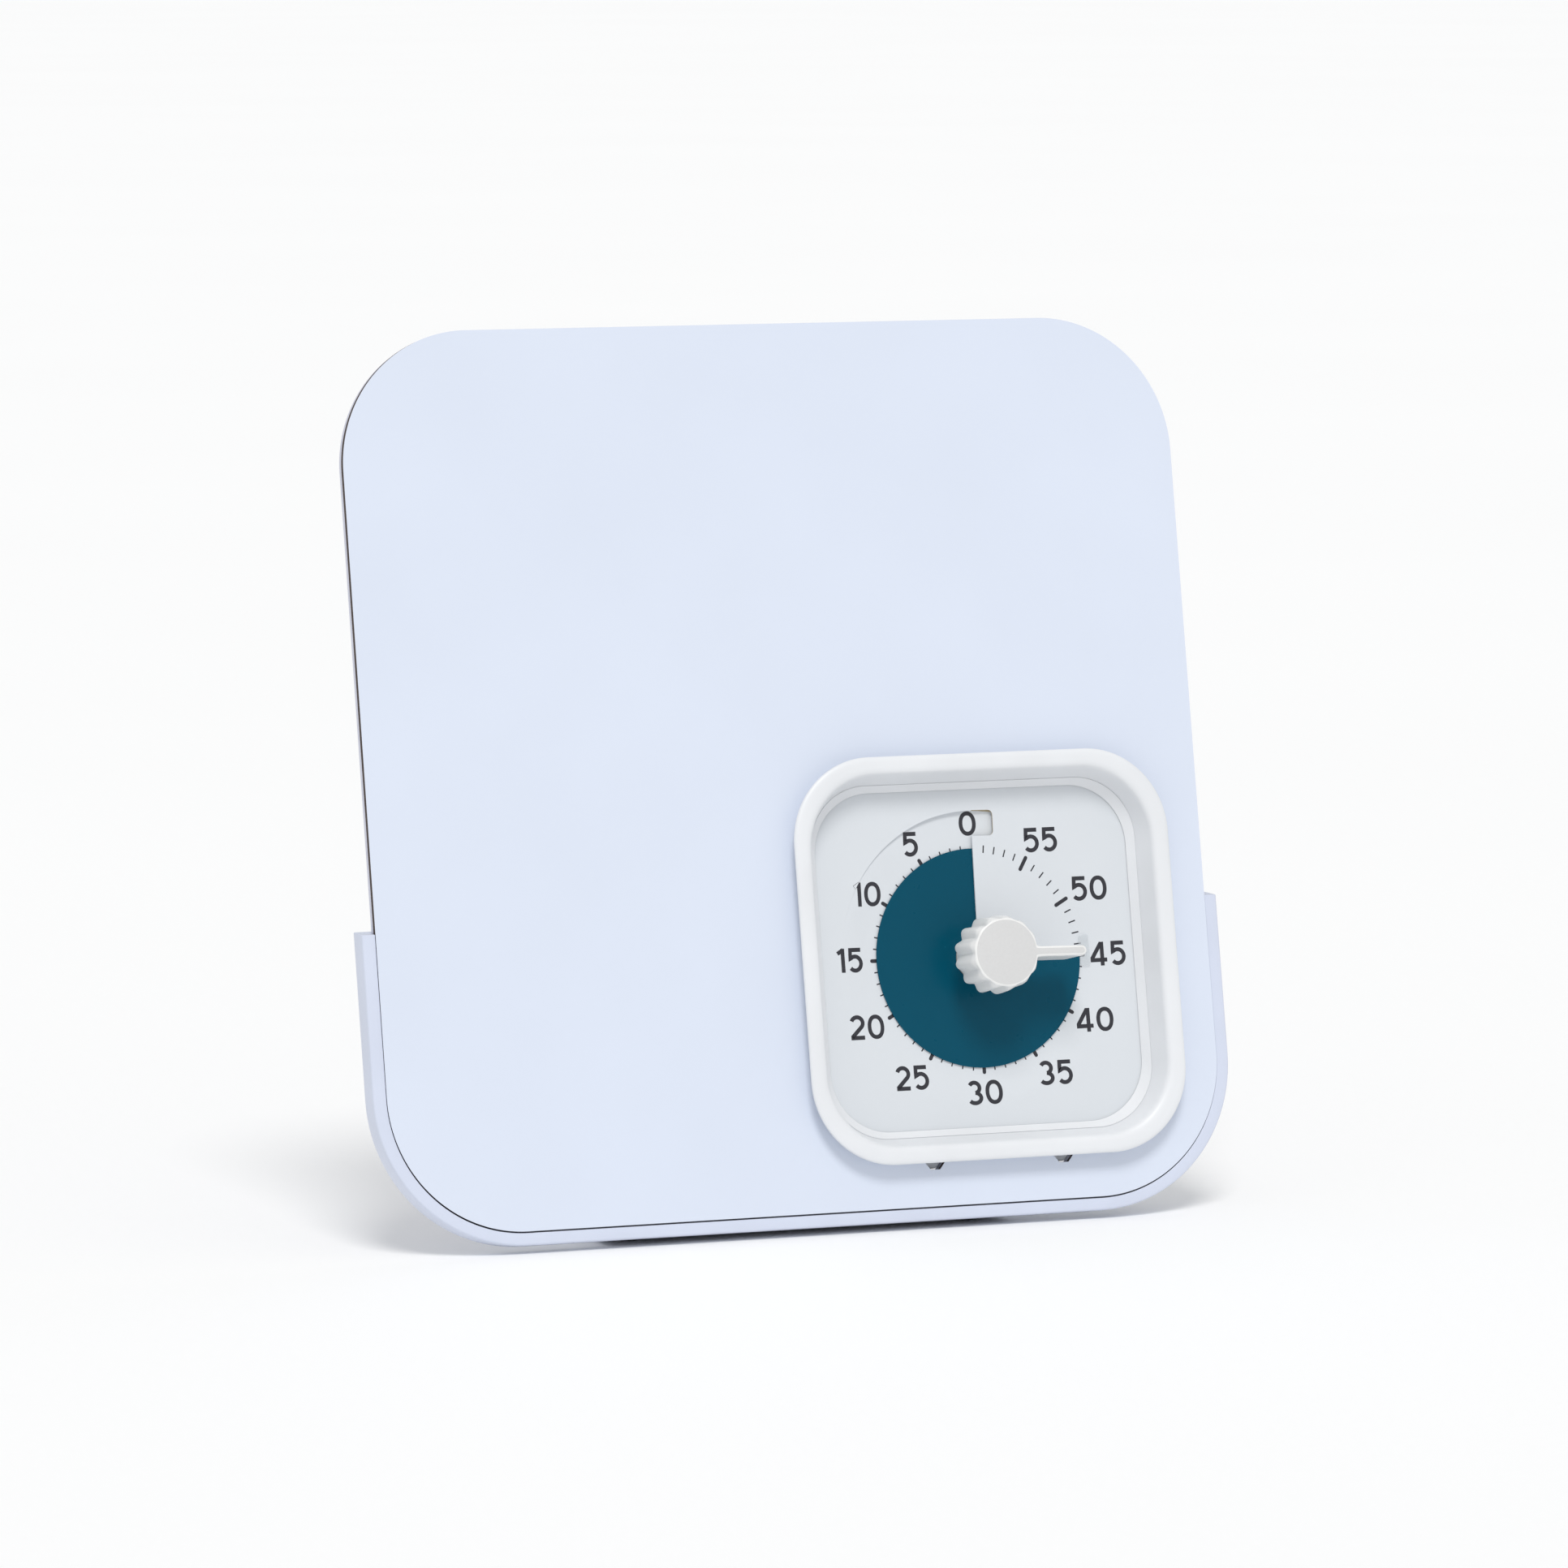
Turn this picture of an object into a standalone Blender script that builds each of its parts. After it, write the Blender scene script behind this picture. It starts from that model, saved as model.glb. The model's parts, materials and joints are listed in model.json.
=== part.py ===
"""A square dry-erase board that leans in a cradle stand, with a 60-minute countdown timer in a
square cut-out at its lower right.

Three frames carry the parts. The board frame has its origin at the middle of the writing surface,
X to the right, Y up the board and Z out of its front. The timer frame is the same, moved to the
timer's axis. The dial frame lies on the dial's face and is turned a little, as the dial is.
"""

import math

import bmesh
import bpy
from mathutils import Matrix, Vector

MM = 0.001

# How the board stands
LEAN = math.radians(11)
FLOOR_GAP = 1.5 * MM
FRAME_HEIGHT = 157.6 * MM
FRAME_BACK = -13.6 * MM

# Board: a thin writing sheet on a light panel
BOARD_HALF = 152.5 * MM
BOARD_RADIUS = 47 * MM
SHEET_THICK = 2.2 * MM
PANEL_BACK = -5.0 * MM
PANEL_INSET = 0.3 * MM
GAP = 0.3 * MM

# Cradle: an L section that follows the board's lower edge
CRADLE_GAP = 0.5 * MM
CRADLE_WALL = 4.2 * MM
CRADLE_BACK = -9.2 * MM
LIP_INSET = 10.5 * MM
ARM_HEIGHT = 102 * MM
ARM_FILLET = 0.8 * MM

# Base foot: a plate on the floor with a low flange against the cradle
FOOT_HALF_WIDTH = 75 * MM
FOOT_THICK = 4.5 * MM
FOOT_REACH = 62 * MM
FLANGE_THICK = 4.0 * MM
FLANGE_TOP = 14.5 * MM
PAD_RADIUS = 6 * MM
PAD_THICK = 1.2 * MM
FOOT_CORNER = 14 * MM
FOOT_NOSE = 1 * MM
RIB_X = (-30 * MM, 30 * MM)
RIB_HALF = 1.5 * MM
RIB_REACH = 11 * MM
PAD_X = 62 * MM
PAD_FRONT_Y, PAD_BACK_Y = -21.6 * MM, 36.4 * MM

# Screws from behind through the flange into the cradle
FOOT_SCREW_X = (-60 * MM, 0.0, 60 * MM)
FOOT_SCREW_Y = -BOARD_HALF + 4 * MM
FOOT_SCREW_RADIUS = 1.55 * MM
FOOT_SCREW_HEAD = 3.1 * MM
FOOT_SCREW_BORE = 1.9 * MM
FOOT_SCREW_SEAT = 3.5 * MM
DRIVE_HALF_WIDTH = 0.35 * MM
DRIVE_DEPTH = 0.7 * MM

# Timer housing, about its own axis
TIMER_AT = (68 * MM, -68 * MM)
RING_HALF = 69.8 * MM
RING_RADIUS = 29.5 * MM
RING_FRONT = 6.8 * MM
DIAL_DEPTH = 5.0 * MM
FACE_HALF = 58.2 * MM
FACE_RADIUS = 21 * MM
SPIGOT_HALF = 64.0 * MM
SPIGOT_RADIUS = 25.5 * MM
SPIGOT_BACK = -8.6 * MM
CUTOUT_CLEAR = 0.5 * MM
CASE_BACK = -32 * MM
CASE_WALL = 2.0 * MM

# Feet under the timer, and the notches that they pass through
NOTCH_X = 24 * MM
NOTCH_HALF = 4.5 * MM
NOTCH_SHOULDER = 68.5 * MM
NOTCH_FLOOR_HALF = 1.7 * MM
NOTCH_FLOOR = 71.9 * MM
NOTCH_CLEAR = 0.6 * MM
TIMER_FOOT_FRONT = -2.6 * MM
TIMER_FOOT_BACK = -30 * MM

# Dial and disc: the disc follows a shallow helical ramp and dives through the slit at 0
DIAL_TURN = math.radians(-1.1)
DIAL_HALF = 60.2 * MM
DIAL_THICK = 2.2 * MM
PITCH = 1.5 * MM
RAMP_THICK = 0.6 * MM
RAMP_RADIUS = 50.8 * MM
RAMP_LAP = 0.3 * MM
RAMP_DROP = 0.05 * MM
RAMP_UNDERLAP = 12
HUB_HOLE = 8.6 * MM
SLIT_END = 42.1 * MM
NOTCH_WIDTH = 8.0 * MM
NOTCH_CORNER = 1.7 * MM
DISC_INNER = 8.3 * MM
DISC_RADIUS = 37.8 * MM
DISC_THICK = 0.3 * MM
DISC_LIFT = 0.3 * MM
SET_ANGLE = 270
TAB_INNER = 38.1 * MM
TAB_OUTER = 41.9 * MM
TAB_BEHIND, TAB_AHEAD = 5.5, 10
HELIX_STEP = 6

# Knob, above the dial's face
KNOB_LOW = 9.8 * MM
KNOB_TOP = 24.5 * MM
KNOB_FACE = 11.1 * MM
KNOB_OUTER = 13.5 * MM
FLUTE_DEPTH = 1.7 * MM
FLUTES = 13
FIN_REACH = 30 * MM
FIN_HALF = 1.75 * MM
FIN_BASE_HALF = 2.3 * MM
HUB_RADIUS = 8.0 * MM
HUB_LOW = -4.0 * MM
SPINDLE_RADIUS = 2.5 * MM

# Movement, behind the disc
MOVEMENT_HALF = 30 * MM
MOVEMENT_FRONT = -12 * MM
MOVEMENT_SPLIT = -27.6 * MM
MOVEMENT_WALL = 1.5 * MM
MODULE = 0.8 * MM
CENTRE_TEETH, MIDDLE_TEETH, PINION_TEETH = 30, 20, 10
GEAR_LOW, GEAR_HIGH = -19 * MM, -16 * MM
MIDDLE_DIRECTION = math.radians(225)
PINION_DIRECTION = math.radians(135)

# Battery and electronics
BATTERY_Y = 44 * MM
BATTERY_Z = -21 * MM
BATTERY_RADIUS = 7.25 * MM
BATTERY_HALF = 25 * MM
DOOR_HALF = (30 * MM, 9.5 * MM)
SWITCH_AT = (-34 * MM, -44 * MM)
POST_AT = (45 * MM, 50 * MM)
POST_RADIUS = 3.5 * MM
BOSS_DEPTH = 4 * MM
CASE_SCREW_RADIUS = 1.4 * MM
CASE_SCREW_HEAD = 2.6 * MM
CASE_SCREW_BORE = 1.8 * MM
CASE_SCREW_SEAT = 2.9 * MM
BUZZER_AT = (12 * MM, -44 * MM)
BUZZER_RADIUS = 8.5 * MM
BUZZER_PORT = 1.2 * MM
MOTOR_RADIUS = 5.4 * MM
ARBOR_RADIUS = 1.1 * MM
TRAY_HALF = (31.5 * MM, 9.2 * MM)
TRAY_WALL = 1.2 * MM
CONTACT_THICK = 0.6 * MM
WIRE_RADIUS = 0.35 * MM
SPRING_LENGTH = 4.2 * MM

WHITE = (0.90, 0.92, 0.95, 1)


def clear_scene():
    for obj in list(bpy.data.objects):
        bpy.data.objects.remove(obj)


def collection(name):
    made = bpy.data.collections.new(name)
    bpy.context.scene.collection.children.link(made)
    return made


clear_scene()
PARTS = collection("dry_erase_board_timer")
CUTTERS = collection("cutters")
MATERIALS = {}


def material(name, colour, roughness, metallic=0.0):
    """A plain Principled material, made once for each name."""
    if name not in MATERIALS:
        made = bpy.data.materials.new(name)
        made.use_nodes = True
        shader = made.node_tree.nodes["Principled BSDF"]
        shader.inputs["Base Color"].default_value = colour
        shader.inputs["Roughness"].default_value = roughness
        shader.inputs["Metallic"].default_value = metallic
        MATERIALS[name] = made
    return MATERIALS[name]


def frame(name, location, rotation=(0, 0, 0), parent=None):
    """An empty that carries the parts of one frame."""
    made = bpy.data.objects.new(name, None)
    PARTS.objects.link(made)
    made.parent = parent
    made.location = location
    made.rotation_euler = rotation
    return made


BOARD_FRAME = frame("board_frame", (0, FRAME_BACK, FRAME_HEIGHT), (math.pi / 2 - LEAN, 0, 0))
TIMER_FRAME = frame("timer_frame", (*TIMER_AT, 0), parent=BOARD_FRAME)
DIAL_FRAME = frame("dial_frame", (0, 0, -DIAL_DEPTH), (0, 0, DIAL_TURN), TIMER_FRAME)


def place(name, mesh, parent, finish, location=(0, 0, 0), rotation=(0, 0, 0)):
    """A named part from a mesh, in the parts' collection."""
    made = bpy.data.objects.new(name, mesh)
    PARTS.objects.link(made)
    made.parent = parent
    made.location = location
    made.rotation_euler = rotation
    made.data.materials.clear()
    made.data.materials.append(finish)
    return made


def tool(name, mesh, parent, location=(0, 0, 0), rotation=(0, 0, 0)):
    """A solid that only cuts or joins another."""
    made = bpy.data.objects.new(name, mesh)
    CUTTERS.objects.link(made)
    made.parent = parent
    made.location = location
    made.rotation_euler = rotation
    made.hide_render = True
    made.display_type = "WIRE"
    return made


def combine(part, other, operation):
    modifier = part.modifiers.new(other.name, "BOOLEAN")
    modifier.operation = operation
    modifier.object = other
    modifier.solver = "EXACT"


def soften(part, width, segments=2, limit=40):
    """Rounds the part's sharp edges."""
    modifier = part.modifiers.new("soften", "BEVEL")
    modifier.width = width
    modifier.segments = segments
    modifier.limit_method = "ANGLE"
    modifier.angle_limit = math.radians(limit)


def finish_mesh(name, bm):
    bmesh.ops.recalc_face_normals(bm, faces=bm.faces)
    mesh = bpy.data.meshes.new(name)
    bm.to_mesh(mesh)
    bm.free()
    mesh.shade_smooth()
    mesh.set_sharp_from_angle(angle=math.radians(35))
    return mesh


def block(name, low, high):
    """A box between two corners."""
    bm = bmesh.new()
    size = [b - a for a, b in zip(low, high)]
    middle = [(a + b) / 2 for a, b in zip(low, high)]
    bmesh.ops.create_cube(bm, size=1, matrix=Matrix.Translation(middle) @ Matrix.Diagonal((*size, 1)))
    return finish_mesh(name, bm)


def cylinder(name, radius, low, high, at=(0, 0), sides=32, top_radius=None):
    """A cylinder or cone along Z."""
    bm = bmesh.new()
    upper = radius if top_radius is None else top_radius
    middle = Matrix.Translation((*at, (low + high) / 2))
    bmesh.ops.create_cone(bm, cap_ends=True, segments=sides, radius1=radius, radius2=upper,
                          depth=high - low, matrix=middle)
    return finish_mesh(name, bm)


def circle(radius, sides):
    """The outline of a circle, anticlockwise."""
    angles = [2 * math.pi * k / sides for k in range(sides)]
    return [(radius * math.cos(a), radius * math.sin(a)) for a in angles]


def rounded(half_x, half_y, radius, steps=6, centre=(0, 0)):
    """The outline of a rectangle with round corners, anticlockwise."""
    points = []
    for quarter, (side_x, side_y) in enumerate(((1, 1), (-1, 1), (-1, -1), (1, -1))):
        for step in range(steps + 1):
            angle = math.pi / 2 * (quarter + step / steps)
            points.append((centre[0] + side_x * (half_x - radius) + radius * math.cos(angle),
                           centre[1] + side_y * (half_y - radius) + radius * math.sin(angle)))
    return points


def loft(name, loops, ring=False):
    """A skin through loops of equal length: closed on itself as a ring, or with its ends filled."""
    bm = bmesh.new()
    rows = [[bm.verts.new(point) for point in loop] for loop in loops]
    pairs = list(zip(rows, rows[1:])) + ([(rows[-1], rows[0])] if ring else [])
    count = len(rows[0])
    for lower, upper in pairs:
        for i in range(count):
            j = (i + 1) % count
            bm.faces.new((lower[i], lower[j], upper[j], upper[i]))
    if not ring:
        bm.faces.new(rows[0])
        bm.faces.new(rows[-1])
    return finish_mesh(name, bm)


def square_loft(name, sections, ring=False, steps=8):
    """A loft through round-cornered squares, each given as half its side, corner radius and height."""
    loops = [[(x, y, z) for x, y in rounded(half, half, radius, steps)] for half, radius, z in sections]
    return loft(name, loops, ring)


def plate(name, outlines, low, high):
    """A flat solid between two heights. The first outline is its edge and the rest are holes."""
    curve = bpy.data.curves.new(name, "CURVE")
    curve.dimensions = "2D"
    curve.fill_mode = "BOTH"
    curve.extrude = (high - low) / 2
    for outline in outlines:
        spline = curve.splines.new("POLY")
        spline.points.add(len(outline) - 1)
        for point, (x, y) in zip(spline.points, outline):
            point.co = (x, y, 0, 1)
        spline.use_cyclic_u = True
    holder = bpy.data.objects.new(name, curve)
    bpy.context.scene.collection.objects.link(holder)
    evaluated = holder.evaluated_get(bpy.context.evaluated_depsgraph_get())
    flat = bpy.data.meshes.new_from_object(evaluated)
    bm = bmesh.new()
    bm.from_mesh(flat)
    bmesh.ops.remove_doubles(bm, verts=bm.verts, dist=0.001 * MM)
    bmesh.ops.translate(bm, verts=bm.verts, vec=(0, 0, (low + high) / 2))
    bpy.data.objects.remove(holder)
    bpy.data.curves.remove(curve)
    bpy.data.meshes.remove(flat)
    return finish_mesh(name, bm)


def helicoid(name, inner, outer, thickness, start, sweep, top):
    """A strip of even thickness that winds up anticlockwise by one pitch a turn.

    Angles are in degrees from the slit at the top of the dial. top is the upper side's height at
    the slit.
    """
    steps = max(2, round(sweep / HELIX_STEP))
    bm = bmesh.new()
    angle = math.radians(90 + start)
    along = Vector((math.cos(angle), math.sin(angle), 0))
    first = top + PITCH * start / 360
    corners = [along * radius + Vector((0, 0, first - drop))
               for radius, drop in ((inner, 0), (outer, 0), (outer, thickness), (inner, thickness))]
    section = bm.faces.new([bm.verts.new(corner) for corner in corners])
    rise = Vector((0, 0, PITCH * sweep / 360 / steps))
    bmesh.ops.spin(bm, geom=[section, *section.edges, *section.verts], cent=(0, 0, 0), axis=(0, 0, 1),
                   dvec=rise, angle=math.radians(sweep), steps=steps, use_duplicate=False)
    bmesh.ops.remove_doubles(bm, verts=bm.verts, dist=0.001 * MM)
    return finish_mesh(name, bm)


def on_board(y, z):
    """World Y and Z of a point in the board's own Y and Z."""
    return (FRAME_BACK + y * math.sin(LEAN) - z * math.cos(LEAN),
            FRAME_HEIGHT + y * math.cos(LEAN) + z * math.sin(LEAN))


# Board ---------------------------------------------------------------------------------------

def foot_points(x, top, clear=0.0):
    """The outline of a foot, or of its notch, from the distance top below the timer's axis."""
    wide, shoulder = NOTCH_HALF - clear, NOTCH_SHOULDER - clear / 2
    narrow, floor = NOTCH_FLOOR_HALF - clear / 2, NOTCH_FLOOR - clear
    return [(x - wide, -top), (x - wide, -shoulder), (x - narrow, -floor),
            (x + narrow, -floor), (x + wide, -shoulder), (x + wide, -top)]


def cutout_outline():
    """The timer's opening in the board's own X and Y, with the two notches in its lower edge."""
    half = SPIGOT_HALF + CUTOUT_CLEAR
    steps = 8
    square = rounded(half, half, SPIGOT_RADIUS + CUTOUT_CLEAR, steps)
    notches = foot_points(-NOTCH_X, half) + foot_points(NOTCH_X, half)
    lower_right = 3 * (steps + 1)
    points = square[:lower_right] + notches + square[lower_right:]
    return [(x + TIMER_AT[0], y + TIMER_AT[1]) for x, y in points]


def make_board():
    white = material("writing_surface", WHITE, 0.2)
    light = material("panel_plastic", (0.80, 0.81, 0.86, 1), 0.5)
    hole = cutout_outline()
    edge = rounded(BOARD_HALF, BOARD_HALF, BOARD_RADIUS, 12)
    place("writing_board", plate("writing_board", [edge, hole], -SHEET_THICK, 0), BOARD_FRAME, white)
    half = BOARD_HALF - PANEL_INSET
    edge = rounded(half, half, BOARD_RADIUS - PANEL_INSET, 12)
    mesh = plate("back_panel", [edge, hole], PANEL_BACK, -SHEET_THICK - GAP)
    place("back_panel", mesh, BOARD_FRAME, light)


# Stand ---------------------------------------------------------------------------------------

def cradle_section():
    """The cradle's L section: distance outside the board's edge, and height."""
    outer = CRADLE_GAP + CRADLE_WALL
    ledge = PANEL_BACK - GAP
    return ((outer, -GAP), (outer, CRADLE_BACK), (-LIP_INSET, CRADLE_BACK),
            (-LIP_INSET, ledge), (CRADLE_GAP, ledge), (CRADLE_GAP, -GAP))


def cradle_stations(steps=10):
    """The corner's centre and the outward direction at each station, from the left arm to the right."""
    corner = BOARD_HALF - BOARD_RADIUS
    stations = []
    for side, first in ((-1, 180), (1, 270)):
        for step in range(steps + 1):
            angle = math.radians(first + 90 * step / steps)
            stations.append(((side * corner, -corner), (math.cos(angle), math.sin(angle))))
    return stations


def make_cradle():
    """The section swept down one arm, round the foot of the board and up the other arm.

    Each arm's end is level when the board leans back.
    """
    arm_top = ARM_HEIGHT - BOARD_HALF
    loops = []
    for (x, y), (out_x, out_y) in cradle_stations():
        loops.append([(x + out_x * (BOARD_RADIUS + off), y + out_y * (BOARD_RADIUS + off), z)
                      for off, z in cradle_section()])
    ends = [[(side * (BOARD_HALF + off), arm_top - z * math.tan(LEAN), z) for off, z in cradle_section()]
            for side in (-1, 1)]
    mesh = loft("cradle", [ends[0], *loops, ends[1]])
    cradle = place("cradle", mesh, BOARD_FRAME, material("stand_plastic", (0.78, 0.80, 0.90, 1), 0.4))
    soften(cradle, ARM_FILLET)
    for i, x in enumerate(FOOT_SCREW_X):
        hole = cylinder(f"screw_hole_{i}", FOOT_SCREW_BORE, CRADLE_BACK - 1 * MM, PANEL_BACK + 1 * MM,
                        (x, FOOT_SCREW_Y), 20)
        combine(cradle, tool(f"screw_hole_{i}", hole, BOARD_FRAME), "DIFFERENCE")


def foot_plan(reach, steps=8):
    """The base foot from above: square at the front and round at the back."""
    front = -40 * MM
    points = [(-FOOT_HALF_WIDTH, front), (FOOT_HALF_WIDTH, front)]
    for side, first in ((1, 0), (-1, 90)):
        for step in range(steps + 1):
            angle = math.radians(first + 90 * step / steps)
            points.append((side * (FOOT_HALF_WIDTH - FOOT_CORNER) + FOOT_CORNER * math.cos(angle),
                           reach - FOOT_CORNER + FOOT_CORNER * math.sin(angle)))
    return points


def make_base_foot():
    """A plate on the floor that turns up into a low flange behind the cradle, with two ribs."""
    front = CRADLE_BACK - GAP
    back = front - FLANGE_THICK
    outer = BOARD_HALF + CRADLE_GAP + CRADLE_WALL
    top = -outer + FLANGE_TOP
    plate_top = FLOOR_GAP + FOOT_THICK
    heel_y = (plate_top - FRAME_HEIGHT - back * math.sin(LEAN)) / math.cos(LEAN)
    reach = FRAME_BACK + FOOT_REACH
    nose = reach + FOOT_NOSE
    profile = [(on_board(-outer, front)[0], FLOOR_GAP), on_board(top, front), on_board(top, back),
               on_board(heel_y, back), (reach - 4 * MM, plate_top), (nose, FLOOR_GAP + FOOT_NOSE),
               (nose, FLOOR_GAP)]
    wide = FOOT_HALF_WIDTH + 1 * MM
    loops = [[(x, y, z) for y, z in profile] for x in (-wide, wide)]
    grey = material("stand_plastic", (0.78, 0.80, 0.90, 1), 0.4)
    foot = place("base_foot", loft("base_foot", loops), None, grey)
    plan = plate("foot_plan", [foot_plan(reach)], -1 * MM, FLANGE_TOP + 10 * MM)
    combine(foot, tool("foot_plan", plan, None), "INTERSECT")
    soften(foot, 1 * MM, 2)
    heel = on_board(heel_y, back)[0]
    sunk = 1 * MM
    profile = [on_board(top - 2 * MM, back + sunk), (heel - sunk, plate_top - sunk),
               (heel + RIB_REACH, plate_top - sunk), (heel + RIB_REACH, plate_top + 0.4 * MM)]
    for i, x in enumerate(RIB_X):
        loops = [[(x + side * RIB_HALF, y, z) for y, z in profile] for side in (-1, 1)]
        combine(foot, tool(f"rib_{i}", loft(f"rib_{i}", loops), None), "UNION")
    for i, x in enumerate(FOOT_SCREW_X):
        at = (x, FOOT_SCREW_Y)
        hole = cylinder(f"foot_bore_{i}", FOOT_SCREW_BORE, back - 6 * MM, front + 1 * MM, at, 20)
        combine(foot, tool(f"foot_bore_{i}", hole, BOARD_FRAME), "DIFFERENCE")
        seat = cylinder(f"foot_seat_{i}", FOOT_SCREW_SEAT, back - 6 * MM, back + 1.6 * MM, at, 20)
        combine(foot, tool(f"foot_seat_{i}", seat, BOARD_FRAME), "DIFFERENCE")
    steel = material("zinc_steel", (0.62, 0.63, 0.65, 1), 0.3, 1.0)
    for i, x in enumerate(FOOT_SCREW_X):
        screw(f"foot_screw_{i + 1}", BOARD_FRAME, (x, FOOT_SCREW_Y), back + 1.3 * MM, back - 0.6 * MM,
              PANEL_BACK - 1.2 * MM, FOOT_SCREW_HEAD, FOOT_SCREW_RADIUS, steel)
    rubber = material("rubber", (0.30, 0.31, 0.33, 1), 0.9)
    corners = [(x, y) for y in (PAD_FRONT_Y, PAD_BACK_Y) for x in (-PAD_X, PAD_X)]
    for i, at in enumerate(corners):
        pad = cylinder(f"base_pad_{i + 1}", PAD_RADIUS, 0, PAD_THICK, at, 24)
        place(f"base_pad_{i + 1}", pad, None, rubber)


def screw(name, parent, at, seat, head_end, tip, head_radius, shank_radius, finish):
    """A cross-headed screw pointing towards +Z: its head from head_end to seat, its shank to tip."""
    made = place(name, cylinder(name, head_radius, head_end, seat, at, 24), parent, finish)
    shank = cylinder(f"{name}_shank", shank_radius, seat - 0.2 * MM, tip, at, 16)
    combine(made, tool(f"{name}_shank", shank, parent), "UNION")
    for turn in (0, math.pi / 2):
        low = (-head_radius * 0.6, -DRIVE_HALF_WIDTH, head_end - 0.5 * MM)
        high = (head_radius * 0.6, DRIVE_HALF_WIDTH, head_end + DRIVE_DEPTH)
        slot = tool(f"{name}_slot", block(f"{name}_slot", low, high), parent, (*at, 0), (0, 0, turn))
        combine(made, slot, "DIFFERENCE")


# Timer housing -------------------------------------------------------------------------------

def make_bezel_ring():
    """The front housing: a flat rim that flares off the board, a steep inner side and a spigot."""
    inner = FACE_HALF
    sections = [
        (RING_HALF - 3.4 * MM, RING_RADIUS - 3.0 * MM, GAP),
        (RING_HALF - 0.5 * MM, RING_RADIUS - 0.5 * MM, 4.7 * MM),
        (RING_HALF, RING_RADIUS, 5.6 * MM),
        (RING_HALF - 0.3 * MM, RING_RADIUS - 0.3 * MM, 6.3 * MM),
        (RING_HALF - 1.4 * MM, RING_RADIUS - 1.2 * MM, RING_FRONT),
        (RING_HALF - 4.5 * MM, RING_RADIUS - 3.2 * MM, 6.7 * MM),
        (RING_HALF - 5.7 * MM, RING_RADIUS - 3.9 * MM, 6.2 * MM),
        (RING_HALF - 6.5 * MM, RING_RADIUS - 4.3 * MM, 5.1 * MM),
        (inner + 4.7 * MM, FACE_RADIUS + 4.0 * MM, 3.4 * MM),
        (inner + 2.5 * MM, FACE_RADIUS + 0.4 * MM, -2.0 * MM),
        (inner, FACE_RADIUS, GAP - DIAL_DEPTH),
        (DIAL_HALF + GAP, FACE_RADIUS + 1.6 * MM, GAP - DIAL_DEPTH),
        (DIAL_HALF + GAP, FACE_RADIUS + 1.6 * MM, SPIGOT_BACK),
        (SPIGOT_HALF, SPIGOT_RADIUS, SPIGOT_BACK),
        (SPIGOT_HALF, SPIGOT_RADIUS, GAP),
    ]
    mesh = square_loft("bezel_ring", sections, ring=True)
    place("bezel_ring", mesh, TIMER_FRAME, material("timer_plastic", (0.90, 0.91, 0.93, 1), 0.4))


def make_rear_case():
    """The back housing: a tray with four screw posts, a battery opening, a switch slot and sound slots."""
    front = SPIGOT_BACK - GAP
    inner = SPIGOT_HALF - CASE_WALL
    floor = CASE_BACK + CASE_WALL
    sections = [
        (inner - 0.5 * MM, SPIGOT_RADIUS - CASE_WALL, floor),
        (inner, SPIGOT_RADIUS - CASE_WALL, front),
        (SPIGOT_HALF, SPIGOT_RADIUS, front),
        (SPIGOT_HALF, SPIGOT_RADIUS, CASE_BACK + 3 * MM),
        (SPIGOT_HALF - 1 * MM, SPIGOT_RADIUS - 1 * MM, CASE_BACK + 0.8 * MM),
        (SPIGOT_HALF - 3 * MM, SPIGOT_RADIUS - 2 * MM, CASE_BACK),
    ]
    white = material("timer_plastic", (0.90, 0.91, 0.93, 1), 0.4)
    case = place("rear_case", square_loft("rear_case", sections, steps=6), TIMER_FRAME, white)
    post_top = -DIAL_DEPTH - DIAL_THICK - BOSS_DEPTH - GAP
    steel = material("zinc_steel", (0.62, 0.63, 0.65, 1), 0.3, 1.0)
    for i, (x, y) in enumerate(((1, 1), (-1, 1), (-1, -1), (1, -1))):
        at = (x * POST_AT[0], y * POST_AT[1])
        post = cylinder(f"post_{i}", POST_RADIUS, floor - 1 * MM, post_top, at, 16)
        combine(case, tool(f"post_{i}", post, TIMER_FRAME), "UNION")
        bore = cylinder(f"post_bore_{i}", CASE_SCREW_BORE, CASE_BACK - 1 * MM, post_top + 1 * MM, at, 12)
        combine(case, tool(f"post_bore_{i}", bore, TIMER_FRAME), "DIFFERENCE")
        seat = cylinder(f"post_seat_{i}", CASE_SCREW_SEAT, CASE_BACK - 1 * MM, CASE_BACK + 3 * MM, at, 16)
        combine(case, tool(f"post_seat_{i}", seat, TIMER_FRAME), "DIFFERENCE")
        screw(f"case_screw_{i + 1}", TIMER_FRAME, at, CASE_BACK + 2.7 * MM, CASE_BACK + 0.9 * MM,
              -DIAL_DEPTH - DIAL_THICK - 1.2 * MM, CASE_SCREW_HEAD, CASE_SCREW_RADIUS, steel)
    openings = [("door_way", (0, BATTERY_Y), (DOOR_HALF[0] + GAP, DOOR_HALF[1] + GAP), 1.5),
                ("switch_way", SWITCH_AT, (6.2 * MM, 2.0 * MM), 0.8)]
    openings += [(f"sound_slot_{k}", (30 * MM, (-50 + 3.4 * k) * MM), (8 * MM, 0.8 * MM), 0.7)
                 for k in range(4)]
    for name, at, (half_x, half_y), radius in openings:
        outline = rounded(half_x, half_y, radius * MM, 3, at)
        mesh = plate(name, [outline], CASE_BACK - 2 * MM, floor + 0.8 * MM)
        combine(case, tool(name, mesh, TIMER_FRAME), "DIFFERENCE")


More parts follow.
